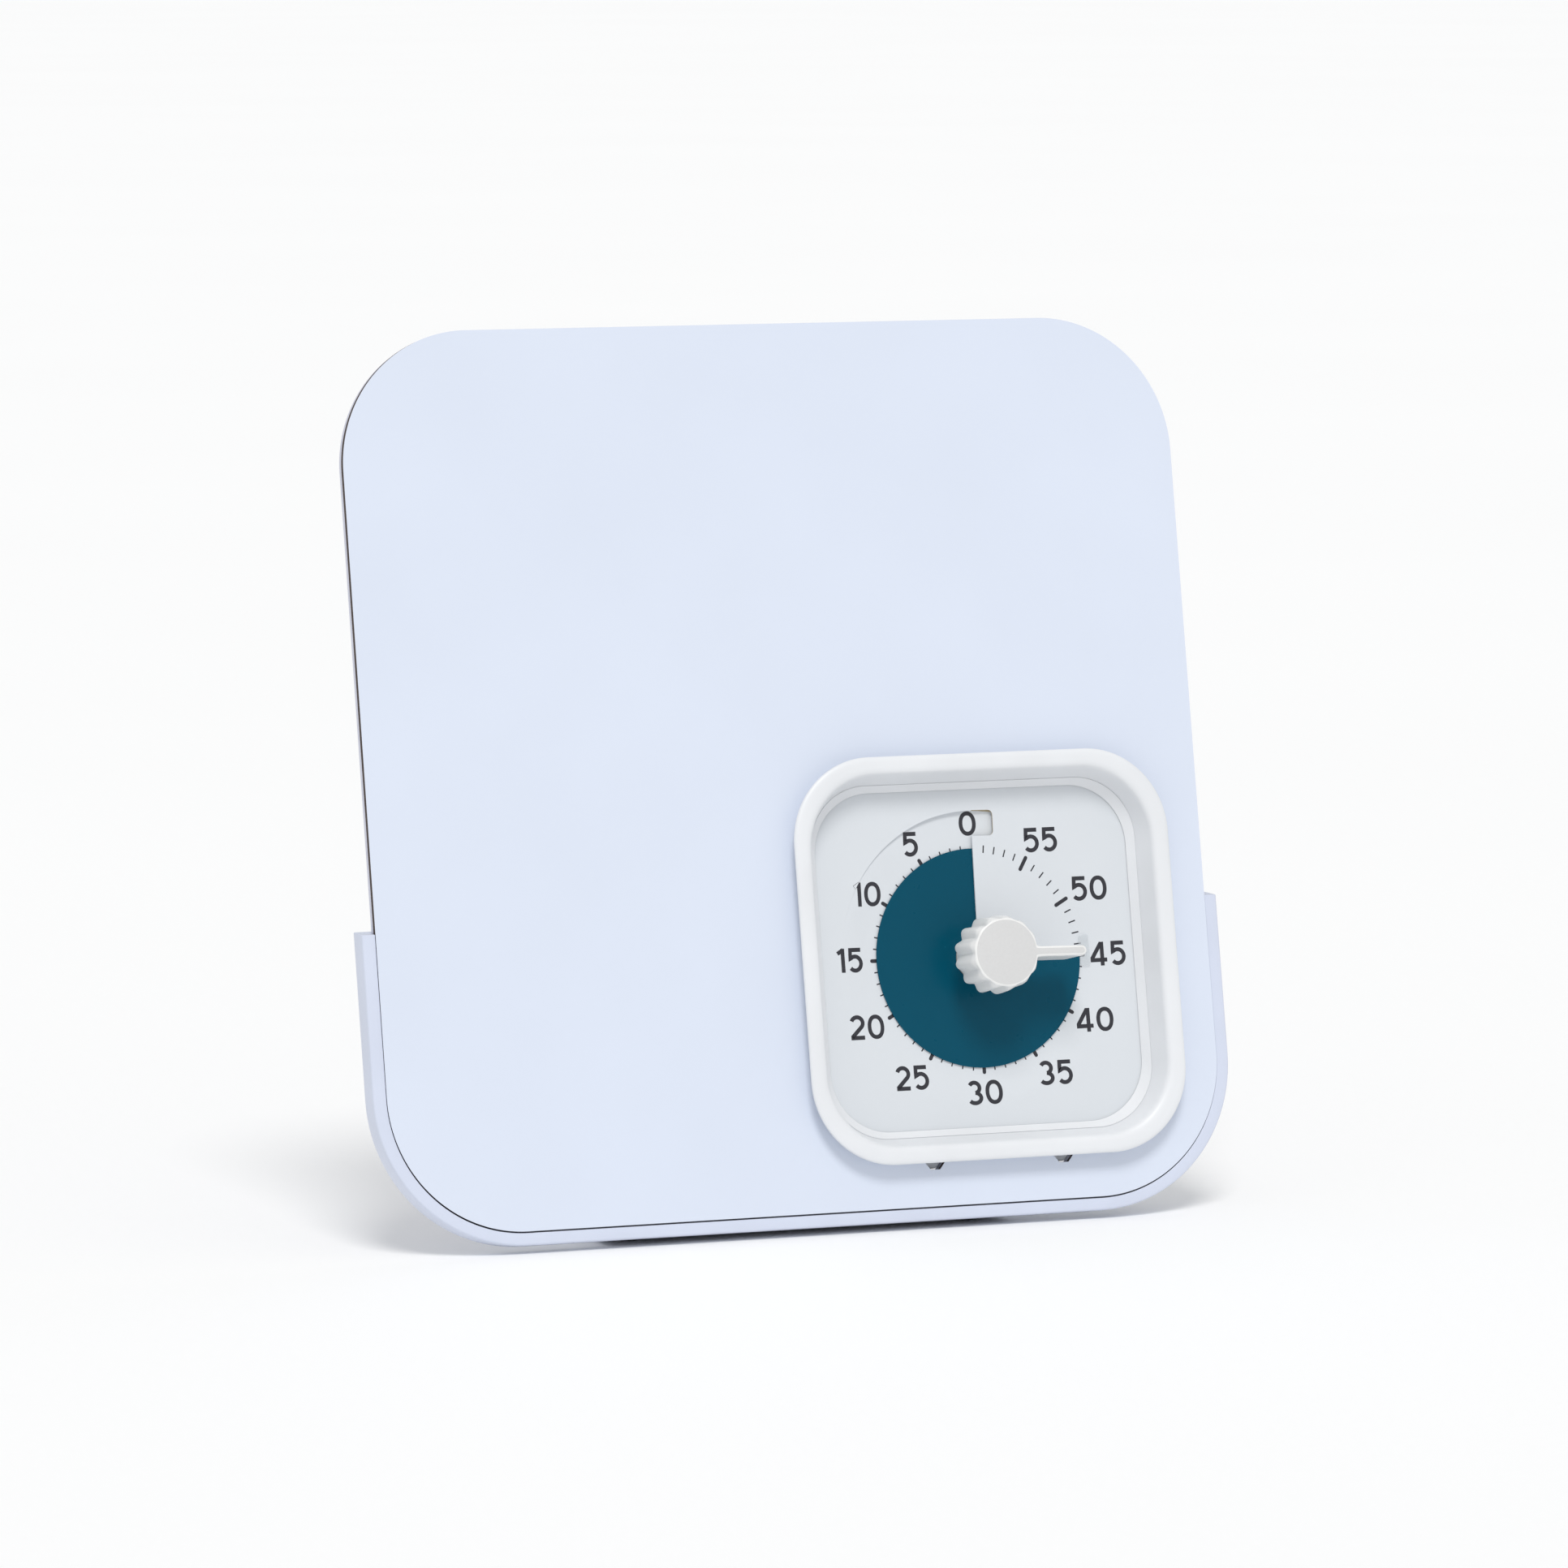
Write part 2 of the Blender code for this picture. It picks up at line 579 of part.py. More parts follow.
def make_timer_feet():
    """Two ribs under the timer, which stand it on a table and pass through the board's notches."""
    grey = material("foot_plastic", (0.72, 0.74, 0.78, 1), 0.5)
    for name, x in (("timer_foot_left", -NOTCH_X), ("timer_foot_right", NOTCH_X)):
        outline = foot_points(x, SPIGOT_HALF + GAP, NOTCH_CLEAR)
        mesh = plate(name, [outline], TIMER_FOOT_BACK, TIMER_FOOT_FRONT)
        soften(place(name, mesh, TIMER_FRAME, grey), 0.4 * MM, 1)


# Dial, disc and knob -------------------------------------------------------------------------

def make_dial():
    """The face: a flat plate with a round hole, filled by a one-turn ramp that starts under its own end."""
    square_on = Matrix.Rotation(-DIAL_TURN, 2)
    square = rounded(DIAL_HALF, DIAL_HALF, FACE_RADIUS + 1.3 * MM, 8)
    outline = [square_on @ Vector(point) for point in square]
    face = material("dial_face", (0.86, 0.88, 0.92, 1), 0.35)
    flat = plate("dial_plate", [outline, circle(RAMP_RADIUS, 72)], -DIAL_THICK, 0)
    dial = place("dial_plate", flat, DIAL_FRAME, face)
    ramp = helicoid("ramp", HUB_HOLE, RAMP_RADIUS + RAMP_LAP, RAMP_THICK, -RAMP_UNDERLAP,
                    360 + RAMP_UNDERLAP, -PITCH - RAMP_DROP)
    combine(dial, tool("ramp", ramp, DIAL_FRAME), "UNION")
    notch_half = (NOTCH_WIDTH + 1 * MM) / 2
    top = RAMP_RADIUS + 0.2 * MM
    outline = rounded(notch_half, (top - SLIT_END) / 2, NOTCH_CORNER, 4,
                      (NOTCH_WIDTH - notch_half, (top + SLIT_END) / 2))
    notch = plate("slit_notch", [outline], -1.2 * MM, 1 * MM)
    combine(dial, tool("slit_notch", notch, DIAL_FRAME), "DIFFERENCE")
    for i, (x, y) in enumerate(((1, 1), (-1, 1), (-1, -1), (1, -1))):
        at = (x * POST_AT[0], y * POST_AT[1])
        boss = cylinder(f"boss_{i}", POST_RADIUS, -DIAL_THICK - BOSS_DEPTH, -DIAL_THICK + 1 * MM, at, 16)
        combine(dial, tool(f"boss_{i}", boss, DIAL_FRAME, rotation=(0, 0, -DIAL_TURN)), "UNION")
        pilot = cylinder(f"pilot_{i}", 1.75 * MM, -DIAL_THICK - 5 * MM, -DIAL_THICK - 0.2 * MM, at, 12)
        combine(dial, tool(f"pilot_{i}", pilot, DIAL_FRAME, rotation=(0, 0, -DIAL_TURN)), "DIFFERENCE")


def make_disc():
    """One turn of thin disc on the ramp's own pitch, with a clear tab on its leading edge."""
    top = -PITCH - RAMP_DROP + DISC_LIFT + DISC_THICK
    teal = material("disc_teal", (0.0, 0.09, 0.14, 1), 0.25)
    mesh = helicoid("timer_disc", DISC_INNER, DISC_RADIUS, DISC_THICK, SET_ANGLE - 360, 360, top)
    place("timer_disc", mesh, DIAL_FRAME, teal)
    clear = material("clear_plastic", (0.85, 0.88, 0.90, 1), 0.1)
    mesh = helicoid("disc_tab", TAB_INNER, TAB_OUTER, DISC_THICK, SET_ANGLE - TAB_BEHIND,
                    TAB_BEHIND + TAB_AHEAD, top)
    place("disc_tab", mesh, DIAL_FRAME, clear)


def fluted(radius, depth, height, points_a_flute=8):
    """A loop with rounded lobes, one of them towards the pointer."""
    count = FLUTES * points_a_flute
    loop = []
    for i in range(count):
        angle = 2 * math.pi * i / count
        lobe = 0.5 + 0.5 * math.cos(FLUTES * angle)
        reach = radius - depth * (1 - lobe ** 0.7)
        loop.append((reach * math.cos(angle), reach * math.sin(angle), height))
    return loop


def make_knob():
    """The fluted cap, with its pointer fin, on the hub that carries the disc."""
    white = material("knob_plastic", (0.93, 0.93, 0.93, 1), 0.45)
    loops = [fluted(KNOB_OUTER - 0.5 * MM, FLUTE_DEPTH, KNOB_LOW),
             fluted(KNOB_OUTER, FLUTE_DEPTH, KNOB_LOW + 0.6 * MM),
             fluted(KNOB_OUTER - 0.5 * MM, FLUTE_DEPTH * 0.9, KNOB_TOP - 3.5 * MM),
             fluted(KNOB_OUTER - 1.3 * MM, FLUTE_DEPTH * 0.6, KNOB_TOP - 1.2 * MM),
             fluted(KNOB_FACE + 0.3 * MM, 0, KNOB_TOP - 0.1 * MM),
             fluted(KNOB_FACE, 0, KNOB_TOP)]
    turn = (0, 0, math.radians(SET_ANGLE + 90))
    knob = place("knob", loft("knob", loops), DIAL_FRAME, white, rotation=turn)
    ends = []
    for half, reach, height in ((FIN_BASE_HALF, FIN_REACH - 0.4 * MM, KNOB_LOW + 0.3 * MM),
                                (FIN_HALF + 0.1 * MM, FIN_REACH, KNOB_TOP - 0.7 * MM),
                                (FIN_HALF - 0.5 * MM, FIN_REACH - 0.5 * MM, KNOB_TOP)):
        tip = [(reach - half + half * math.sin(a), -half * math.cos(a))
               for a in (math.pi * k / 8 for k in range(9))]
        ends.append([(x, y, height) for x, y in [(5 * MM, -half), *tip, (5 * MM, half)]])
    fin = tool("pointer_fin", loft("pointer_fin", ends), DIAL_FRAME, rotation=turn)
    combine(knob, fin, "UNION")
    bore = cylinder("knob_bore", SPINDLE_RADIUS + GAP, KNOB_LOW - 1 * MM, KNOB_LOW + 8 * MM, sides=24)
    combine(knob, tool("knob_bore", bore, DIAL_FRAME), "DIFFERENCE")
    hub_top = KNOB_LOW - GAP
    rings = [circle(HUB_RADIUS, 40), circle(SPINDLE_RADIUS + GAP, 20)]
    place("disc_hub", plate("disc_hub", rings, HUB_LOW, hub_top), DIAL_FRAME, white)


# Movement ------------------------------------------------------------------------------------

def gear_outline(teeth, phase, at):
    """A gear's outline with one tooth centred on the angle phase, its teeth a little thin to run freely."""
    pitch_radius = MODULE * teeth / 2
    profile = ((-0.68, -1.0), (-0.22, 0.6), (0.22, 0.6), (0.68, -1.0))
    points = []
    for tooth in range(teeth):
        middle = phase + 2 * math.pi * tooth / teeth
        for side, height in profile:
            radius = pitch_radius + height * MM
            angle = middle + side * MM / pitch_radius
            points.append((at[0] + radius * math.cos(angle), at[1] + radius * math.sin(angle)))
    return points


def train():
    """Where each gear sits and how far it is turned, so that all three are in mesh."""
    first = MODULE * (CENTRE_TEETH + MIDDLE_TEETH) / 2
    second = MODULE * (MIDDLE_TEETH + PINION_TEETH) / 2
    middle_at = (first * math.cos(MIDDLE_DIRECTION), first * math.sin(MIDDLE_DIRECTION))
    pinion_at = (middle_at[0] + second * math.cos(PINION_DIRECTION),
                 middle_at[1] + second * math.sin(PINION_DIRECTION))
    middle_phase = MIDDLE_DIRECTION + math.pi + math.pi / MIDDLE_TEETH
    late = (PINION_DIRECTION - middle_phase) % (2 * math.pi / MIDDLE_TEETH)
    gap_angle = PINION_DIRECTION + math.pi + late * MIDDLE_TEETH / PINION_TEETH
    return (((0.0, 0.0), MIDDLE_DIRECTION), (middle_at, middle_phase),
            (pinion_at, gap_angle + math.pi / PINION_TEETH))


def make_movement():
    """A box with the gear train and the motor, and the spindle that it drives."""
    black = material("movement_plastic", (0.05, 0.05, 0.06, 1), 0.5)
    brass = material("brass", (0.75, 0.58, 0.28, 1), 0.35, 1.0)
    steel = material("zinc_steel", (0.62, 0.63, 0.65, 1), 0.3, 1.0)
    nylon = material("gear_nylon", (0.88, 0.87, 0.80, 1), 0.5)
    half, wall = MOVEMENT_HALF, MOVEMENT_WALL
    shell = [(half - wall, 2 * MM, MOVEMENT_FRONT - wall), (half - wall, 2 * MM, MOVEMENT_SPLIT),
             (half, 3.5 * MM, MOVEMENT_SPLIT), (half, 3.5 * MM, MOVEMENT_FRONT)]
    case = place("movement_case", square_loft("movement_case", shell, steps=3), TIMER_FRAME, black)
    bush = cylinder("bush_hole", SPINDLE_RADIUS + GAP, MOVEMENT_FRONT - 2 * wall, MOVEMENT_FRONT + wall)
    combine(case, tool("bush_hole", bush, TIMER_FRAME), "DIFFERENCE")
    cover = plate("movement_cover", [rounded(half, half, 3.5 * MM, 3)], CASE_BACK + CASE_WALL + GAP,
                  MOVEMENT_SPLIT - GAP)
    place("movement_cover", cover, TIMER_FRAME, black)
    (centre_at, centre_phase), (middle_at, middle_phase), (pinion_at, pinion_phase) = train()
    arbor_low, arbor_high = MOVEMENT_SPLIT + GAP, MOVEMENT_FRONT - wall - GAP
    spindle = cylinder("spindle", SPINDLE_RADIUS, arbor_low, KNOB_LOW + 7.5 * MM - DIAL_DEPTH, sides=24)
    place("spindle", spindle, TIMER_FRAME, steel)
    outlines = [gear_outline(CENTRE_TEETH, centre_phase, centre_at), circle(SPINDLE_RADIUS + GAP, 24)]
    wheel = plate("centre_wheel", outlines, GEAR_LOW, GEAR_HIGH)
    place("centre_wheel", wheel, TIMER_FRAME, nylon)
    motor_front = GEAR_LOW - 1 * MM
    for name, teeth, phase, at, low, finish in (
            ("intermediate_wheel", MIDDLE_TEETH, middle_phase, middle_at, arbor_low, nylon),
            ("motor_pinion", PINION_TEETH, pinion_phase, pinion_at, motor_front + GAP, brass)):
        gear = plate(name, [gear_outline(teeth, phase, at)], GEAR_LOW, GEAR_HIGH)
        wheel = place(name, gear, TIMER_FRAME, finish)
        arbor = cylinder(f"{name}_arbor", ARBOR_RADIUS, low, arbor_high, at, 12)
        combine(wheel, tool(f"{name}_arbor", arbor, TIMER_FRAME), "UNION")
    motor = cylinder("stepper_motor", MOTOR_RADIUS, arbor_low, motor_front, pinion_at, 24)
    place("stepper_motor", motor, TIMER_FRAME, steel)


def make_electronics():
    """The battery in its tray, the circuit board with its buzzer, the switch and the battery door."""
    white = material("timer_plastic", (0.90, 0.91, 0.93, 1), 0.4)
    black = material("movement_plastic", (0.05, 0.05, 0.06, 1), 0.5)
    nickel = material("nickel", (0.70, 0.68, 0.64, 1), 0.3, 1.0)
    green = material("circuit_green", (0.02, 0.20, 0.09, 1), 0.4)
    label = material("battery_wrap", (0.10, 0.11, 0.13, 1), 0.35)
    floor = CASE_BACK + CASE_WALL
    along_x = (0, math.pi / 2, 0)
    body = cylinder("battery", BATTERY_RADIUS, -BATTERY_HALF, BATTERY_HALF - 1.5 * MM, sides=28)
    battery = place("battery", body, TIMER_FRAME, label, (0, BATTERY_Y, BATTERY_Z), along_x)
    cap = cylinder("battery_cap", 2.7 * MM, BATTERY_HALF - 2 * MM, BATTERY_HALF, sides=16)
    combine(battery, tool("battery_cap", cap, TIMER_FRAME, (0, BATTERY_Y, BATTERY_Z), along_x), "UNION")
    inner = (TRAY_HALF[0] - TRAY_WALL, TRAY_HALF[1] - TRAY_WALL)
    front = BATTERY_Z + BATTERY_RADIUS + GAP
    loops = [[(x, y, z) for x, y in rounded(half_x, half_y, 1 * MM, 2, (0, BATTERY_Y))]
             for (half_x, half_y), z in ((inner, front), (inner, floor + GAP), (TRAY_HALF, floor + GAP),
                                         (TRAY_HALF, front + TRAY_WALL))]
    place("battery_tray", loft("battery_tray", loops), TIMER_FRAME, white)
    plate_x = BATTERY_HALF + GAP
    low = (plate_x, BATTERY_Y - 6 * MM, BATTERY_Z - 6 * MM)
    high = (plate_x + CONTACT_THICK, BATTERY_Y + 6 * MM, BATTERY_Z + 6 * MM)
    place("contact_plate", block("contact_plate", low, high), TIMER_FRAME, nickel)
    make_contact_spring(nickel)
    board = block("circuit_board", (-12 * MM, -55 * MM, -25.4 * MM), (26 * MM, -33 * MM, -24 * MM))
    place("circuit_board", board, TIMER_FRAME, green)
    buzzer = cylinder("buzzer", BUZZER_RADIUS, -23.7 * MM, -17.5 * MM, BUZZER_AT, 28)
    buzzer = place("buzzer", buzzer, TIMER_FRAME, black)
    port = cylinder("buzzer_port", BUZZER_PORT, -19 * MM, -17 * MM, BUZZER_AT, 12)
    combine(buzzer, tool("buzzer_port", port, TIMER_FRAME), "DIFFERENCE")
    outline = rounded(DOOR_HALF[0], DOOR_HALF[1], 1.2 * MM, 3, (0, BATTERY_Y))
    door = place("battery_door", plate("battery_door", [outline], CASE_BACK, floor), TIMER_FRAME, white)
    for k in range(3):
        x = (20 + 2.4 * k) * MM
        rib = block(f"door_rib_{k}", (x, BATTERY_Y - 4 * MM, CASE_BACK - 0.6 * MM),
                    (x + 1.1 * MM, BATTERY_Y + 4 * MM, CASE_BACK + 0.5 * MM))
        combine(door, tool(f"door_rib_{k}", rib, TIMER_FRAME), "UNION")
    x, y = SWITCH_AT
    slider = block("sound_switch", (x - 5.6 * MM, y - 1.6 * MM, CASE_BACK - 1 * MM),
                   (x - 0.6 * MM, y + 1.6 * MM, floor + 1.4 * MM))
    slider = place("sound_switch", slider, TIMER_FRAME, black)
    foot = block("switch_foot", (x - 7 * MM, y - 3.2 * MM, floor + 0.4 * MM),
                 (x + 1 * MM, y + 3.2 * MM, floor + 1.6 * MM))
    combine(slider, tool("switch_foot", foot, TIMER_FRAME), "UNION")


def make_contact_spring(finish):
    """A conical wire spring that presses on the battery's flat end."""
    turns, steps = 4, 12
    curve = bpy.data.curves.new("contact_spring", "CURVE")
    curve.dimensions = "3D"
    curve.bevel_depth = WIRE_RADIUS
    curve.bevel_resolution = 1
    curve.use_fill_caps = True
    spline = curve.splines.new("POLY")
    count = turns * steps
    spline.points.add(count)
    for i, point in enumerate(spline.points):
        share = i / count
        angle = 2 * math.pi * turns * share
        radius = (4.6 - 2.2 * share) * MM
        point.co = (SPRING_LENGTH * share, radius * math.cos(angle), radius * math.sin(angle), 1)
    holder = bpy.data.objects.new("contact_spring_curve", curve)
    bpy.context.scene.collection.objects.link(holder)
    evaluated = holder.evaluated_get(bpy.context.evaluated_depsgraph_get())
    coil = bpy.data.meshes.new_from_object(evaluated)
    bm = bmesh.new()
    bm.from_mesh(coil)
    bmesh.ops.remove_doubles(bm, verts=bm.verts, dist=0.001 * MM)
    bpy.data.objects.remove(holder)
    bpy.data.curves.remove(curve)
    bpy.data.meshes.remove(coil)
    start = -BATTERY_HALF - GAP - WIRE_RADIUS - SPRING_LENGTH
    place("contact_spring", finish_mesh("contact_spring", bm), TIMER_FRAME, finish,
          (start, BATTERY_Y, BATTERY_Z))


make_board()
make_cradle()
make_base_foot()
make_bezel_ring()
make_rear_case()
make_timer_feet()
make_dial()
make_disc()
make_knob()
make_movement()
make_electronics()
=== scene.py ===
"""Looks of a square dry-erase board with a countdown timer in its corner, on a cradle stand.

Lengths are in metres, named through MM. Three frames carry the pieces: BOARD has its origin at the
middle of the writing surface, with X to the right, Y up the board and Z out of its front. TIMER is
the same at the timer's axis, and DIAL lies on the dial's face, turned a little.
"""

import json
import math

import bmesh
import bpy
from mathutils import Matrix, Vector


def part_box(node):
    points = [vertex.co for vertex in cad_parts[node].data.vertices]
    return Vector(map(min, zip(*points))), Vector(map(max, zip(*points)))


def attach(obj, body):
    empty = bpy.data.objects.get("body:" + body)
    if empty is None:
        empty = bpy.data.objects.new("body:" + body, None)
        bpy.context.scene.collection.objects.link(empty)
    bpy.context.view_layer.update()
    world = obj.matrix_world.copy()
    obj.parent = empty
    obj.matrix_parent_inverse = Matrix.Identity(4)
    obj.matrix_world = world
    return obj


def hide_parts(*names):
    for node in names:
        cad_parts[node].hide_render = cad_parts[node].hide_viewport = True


MM = 0.001
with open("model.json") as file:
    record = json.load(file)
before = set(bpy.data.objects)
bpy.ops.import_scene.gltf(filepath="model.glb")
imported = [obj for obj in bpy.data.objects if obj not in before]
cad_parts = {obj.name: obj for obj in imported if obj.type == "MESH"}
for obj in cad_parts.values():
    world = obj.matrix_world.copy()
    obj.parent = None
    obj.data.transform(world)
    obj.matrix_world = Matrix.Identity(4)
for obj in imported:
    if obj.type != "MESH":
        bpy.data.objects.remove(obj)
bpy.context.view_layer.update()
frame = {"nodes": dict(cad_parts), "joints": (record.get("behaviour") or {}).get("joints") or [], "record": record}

# Sizes of the CAD model that the pieces repeat
SHEET_THICK = 2.2 * MM
GAP = 0.3 * MM
BOARD_HALF = 152.5 * MM
BOARD_RADIUS = 47 * MM
PANEL_BACK = -5.0 * MM
PANEL_INSET = 0.3 * MM
CRADLE_GAP = 0.5 * MM
CRADLE_WALL = 4.2 * MM
CRADLE_BACK = -9.2 * MM
LIP_INSET = 10.5 * MM
ARM_HEIGHT = 102 * MM
LEAN = math.radians(11)
RING_HALF = 69.8 * MM
RING_RADIUS = 29.5 * MM
DIAL_DEPTH = 5.0 * MM
FACE_RADIUS = 21 * MM
SPIGOT_HALF = 64.0 * MM
SPIGOT_RADIUS = 25.5 * MM
SPIGOT_BACK = -8.6 * MM
CUTOUT_CLEAR = 0.5 * MM
NOTCH_X = 24 * MM
NOTCH_HALF = 4.5 * MM
NOTCH_SHOULDER = 68.5 * MM
NOTCH_FLOOR_HALF = 1.7 * MM
NOTCH_FLOOR = 71.9 * MM
NOTCH_CLEAR = 0.6 * MM
TIMER_FOOT_FRONT = -2.6 * MM
TIMER_FOOT_BACK = -30 * MM
DIAL_TURN = math.radians(-1.1)
DIAL_HALF = 60.2 * MM
DIAL_RADIUS = FACE_RADIUS + 1.3 * MM
DIAL_THICK = 2.2 * MM
PITCH = 1.5 * MM
RAMP_THICK = 0.6 * MM
RAMP_RADIUS = 50.8 * MM
RAMP_LAP = 0.3 * MM
RAMP_DROP = 0.05 * MM
RAMP_UNDERLAP = 12
HUB_HOLE = 8.6 * MM
SLIT_END = 42.1 * MM
SLIT_NOTCH_RIGHT = 8.0 * MM
SLIT_CORNER = 1.7 * MM
DISC_INNER = 8.3 * MM
DISC_RADIUS = 37.8 * MM
DISC_THICK = 0.3 * MM
DISC_LIFT = 0.3 * MM
SET_ANGLE = 270
TAB_INNER = 38.1 * MM
TAB_OUTER = 41.9 * MM
TAB_BEHIND, TAB_AHEAD = 5.5, 10
KNOB_LOW = 9.8 * MM
KNOB_TOP = 24.5 * MM
KNOB_FACE = 11.1 * MM
KNOB_OUTER = 13.5 * MM
FLUTE_DEPTH = 1.7 * MM
FLUTES = 13
FIN_REACH = 30 * MM
FIN_HALF = 1.75 * MM
SPINDLE_RADIUS = 2.5 * MM

# Frames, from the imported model
WRITING_FACE = next(m for m in frame["record"]["mounts"] if m["name"] == "writing_face")
KNOB_SPIN = next(j for j in frame["joints"] if j["name"] == "knob_spin")
NORMAL = Vector(WRITING_FACE["axis"]).normalized()


def leaning_frame(origin):
    """A frame at origin with Z along the board's normal and X level."""
    across = Vector((1, 0, 0))
    up = NORMAL.cross(across)
    turn = Matrix((across, up, NORMAL)).transposed().to_4x4()
    return Matrix.Translation(origin) @ turn


SHEET_LOW, SHEET_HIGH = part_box("writing_board")
BOARD = leaning_frame((SHEET_LOW + SHEET_HIGH) / 2 + NORMAL * SHEET_THICK / 2)
TIMER = leaning_frame(Vector(KNOB_SPIN["pos_m"]) + NORMAL * DIAL_DEPTH)
DIAL = TIMER @ Matrix.Translation((0, 0, -DIAL_DEPTH)) @ Matrix.Rotation(DIAL_TURN, 4, "Z")
POINTER = DIAL @ Matrix.Rotation(math.radians(SET_ANGLE + 90), 4, "Z")
TIMER_ON_BOARD = (BOARD.inverted() @ TIMER).translation


# Materials -----------------------------------------------------------------------------------

def new_material(name, roughness, metallic=0.0, **constants):
    """A Principled material, with its even values set on the shader itself."""
    made = bpy.data.materials.new(name)
    made.use_nodes = True
    shader = made.node_tree.nodes["Principled BSDF"]
    shader.inputs["Roughness"].default_value = roughness
    shader.inputs["Metallic"].default_value = metallic
    for socket, value in constants.items():
        shader.inputs[socket.replace("_", " ")].default_value = value
    return made, made.node_tree, shader


def noise(tree, size, detail=2.0, stretch=(1, 1, 1)):
    """Noise in the piece's own space. size is the length of its features."""
    coordinates = tree.nodes.new("ShaderNodeTexCoord")
    mapping = tree.nodes.new("ShaderNodeMapping")
    mapping.inputs["Scale"].default_value = stretch
    texture = tree.nodes.new("ShaderNodeTexNoise")
    texture.inputs["Scale"].default_value = 1 / size
    texture.inputs["Detail"].default_value = detail
    tree.links.new(coordinates.outputs["Object"], mapping.inputs["Vector"])
    tree.links.new(mapping.outputs["Vector"], texture.inputs["Vector"])
    return texture.outputs["Fac"]


def ramp(tree, source, stops):
    """Colours against a factor. stops are pairs of position and colour."""
    node = tree.nodes.new("ShaderNodeValToRGB")
    elements = node.color_ramp.elements
    while len(elements) < len(stops):
        elements.new(0.5)
    for element, (position, colour) in zip(elements, stops):
        element.position = position
        element.color = (*colour, 1)
    tree.links.new(source, node.inputs["Fac"])
    return node.outputs["Color"]


def spread(tree, source, low, high, socket):
    """Drives a socket between two values."""
    node = tree.nodes.new("ShaderNodeMapRange")
    node.inputs["From Min"].default_value = 0.3
    node.inputs["From Max"].default_value = 0.7
    node.inputs["To Min"].default_value = low
    node.inputs["To Max"].default_value = high
    tree.links.new(source, node.inputs["Value"])
    tree.links.new(node.outputs["Result"], socket)


def bump(tree, source, depth, shader):
    """Relief of the given depth."""
    node = tree.nodes.new("ShaderNodeBump")
    node.inputs["Distance"].default_value = depth
    tree.links.new(source, node.inputs["Height"])
    tree.links.new(node.outputs["Normal"], shader.inputs["Normal"])


def shade(colour, factor):
    return tuple(min(1.0, c * factor) for c in colour)


def mottled(name, colour, roughness, grain, depth, mottle=0.02, patch=25 * MM, metallic=0.0, **constants):
    """An even surface as it really is: faint broad patches in colour, and fine grain in gloss and relief."""
    made, tree, shader = new_material(name, roughness, metallic, **constants)
    broad = noise(tree, patch)
    tint = ramp(tree, broad, [(0.3, shade(colour, 1 - mottle)), (0.7, shade(colour, 1 + mottle))])
    tree.links.new(tint, shader.inputs["Base Color"])
    fine = noise(tree, grain, 3)
    spread(tree, fine, roughness * 0.9, roughness * 1.1, shader.inputs["Roughness"])
    bump(tree, fine, depth, shader)
    return made


def brushed(name, colour, roughness, stretch=(1, 12, 12), size=1.5 * MM):
    """Metal with fine drawn lines."""
    made, tree, shader = new_material(name, roughness, 1.0)
    lines = noise(tree, size, 4, stretch)
    tint = ramp(tree, lines, [(0.3, shade(colour, 0.86)), (0.7, colour)])
    tree.links.new(tint, shader.inputs["Base Color"])
    spread(tree, lines, roughness * 0.8, roughness * 1.3, shader.inputs["Roughness"])
    bump(tree, lines, 0.004 * MM, shader)
    return made


def speckled(name, colour, speck, roughness, size, amount, depth=0.0, **constants):
    """A base with small specks of another colour. amount is near 0.7, and higher means fewer."""
    made, tree, shader = new_material(name, roughness, **constants)
    dots = noise(tree, size, 2)
    tree.links.new(ramp(tree, dots, [(amount, colour), (amount + 0.03, speck)]), shader.inputs["Base Color"])
    spread(tree, noise(tree, 6 * MM), roughness * 0.9, roughness * 1.12, shader.inputs["Roughness"])
    bump(tree, noise(tree, 0.5 * MM, 3), depth, shader)
    return made


def circuit_material():
    """Green solder mask with lighter tracks under it."""
    made, tree, shader = new_material("circuit_board_mask", 0.35)
    coordinates = tree.nodes.new("ShaderNodeTexCoord")
    tracks = tree.nodes.new("ShaderNodeTexBrick")
    tracks.inputs["Scale"].default_value = 260
    tracks.inputs["Mortar Size"].default_value = 0.06
    tracks.inputs["Color1"].default_value = (0.01, 0.12, 0.05, 1)
    tracks.inputs["Color2"].default_value = (0.01, 0.15, 0.06, 1)
    tracks.inputs["Mortar"].default_value = (0.04, 0.30, 0.12, 1)
    tree.links.new(coordinates.outputs["Object"], tracks.inputs["Vector"])
    tree.links.new(tracks.outputs["Color"], shader.inputs["Base Color"])
    bump(tree, tracks.outputs["Fac"], 0.02 * MM, shader)
    return made


def clear_material():
    """Clear stiff film, a little grey at a glance."""
    return mottled("clear_film", (0.70, 0.74, 0.77), 0.14, 9 * MM, 0.0005 * MM, 0.01, IOR=1.49, Alpha=0.22)


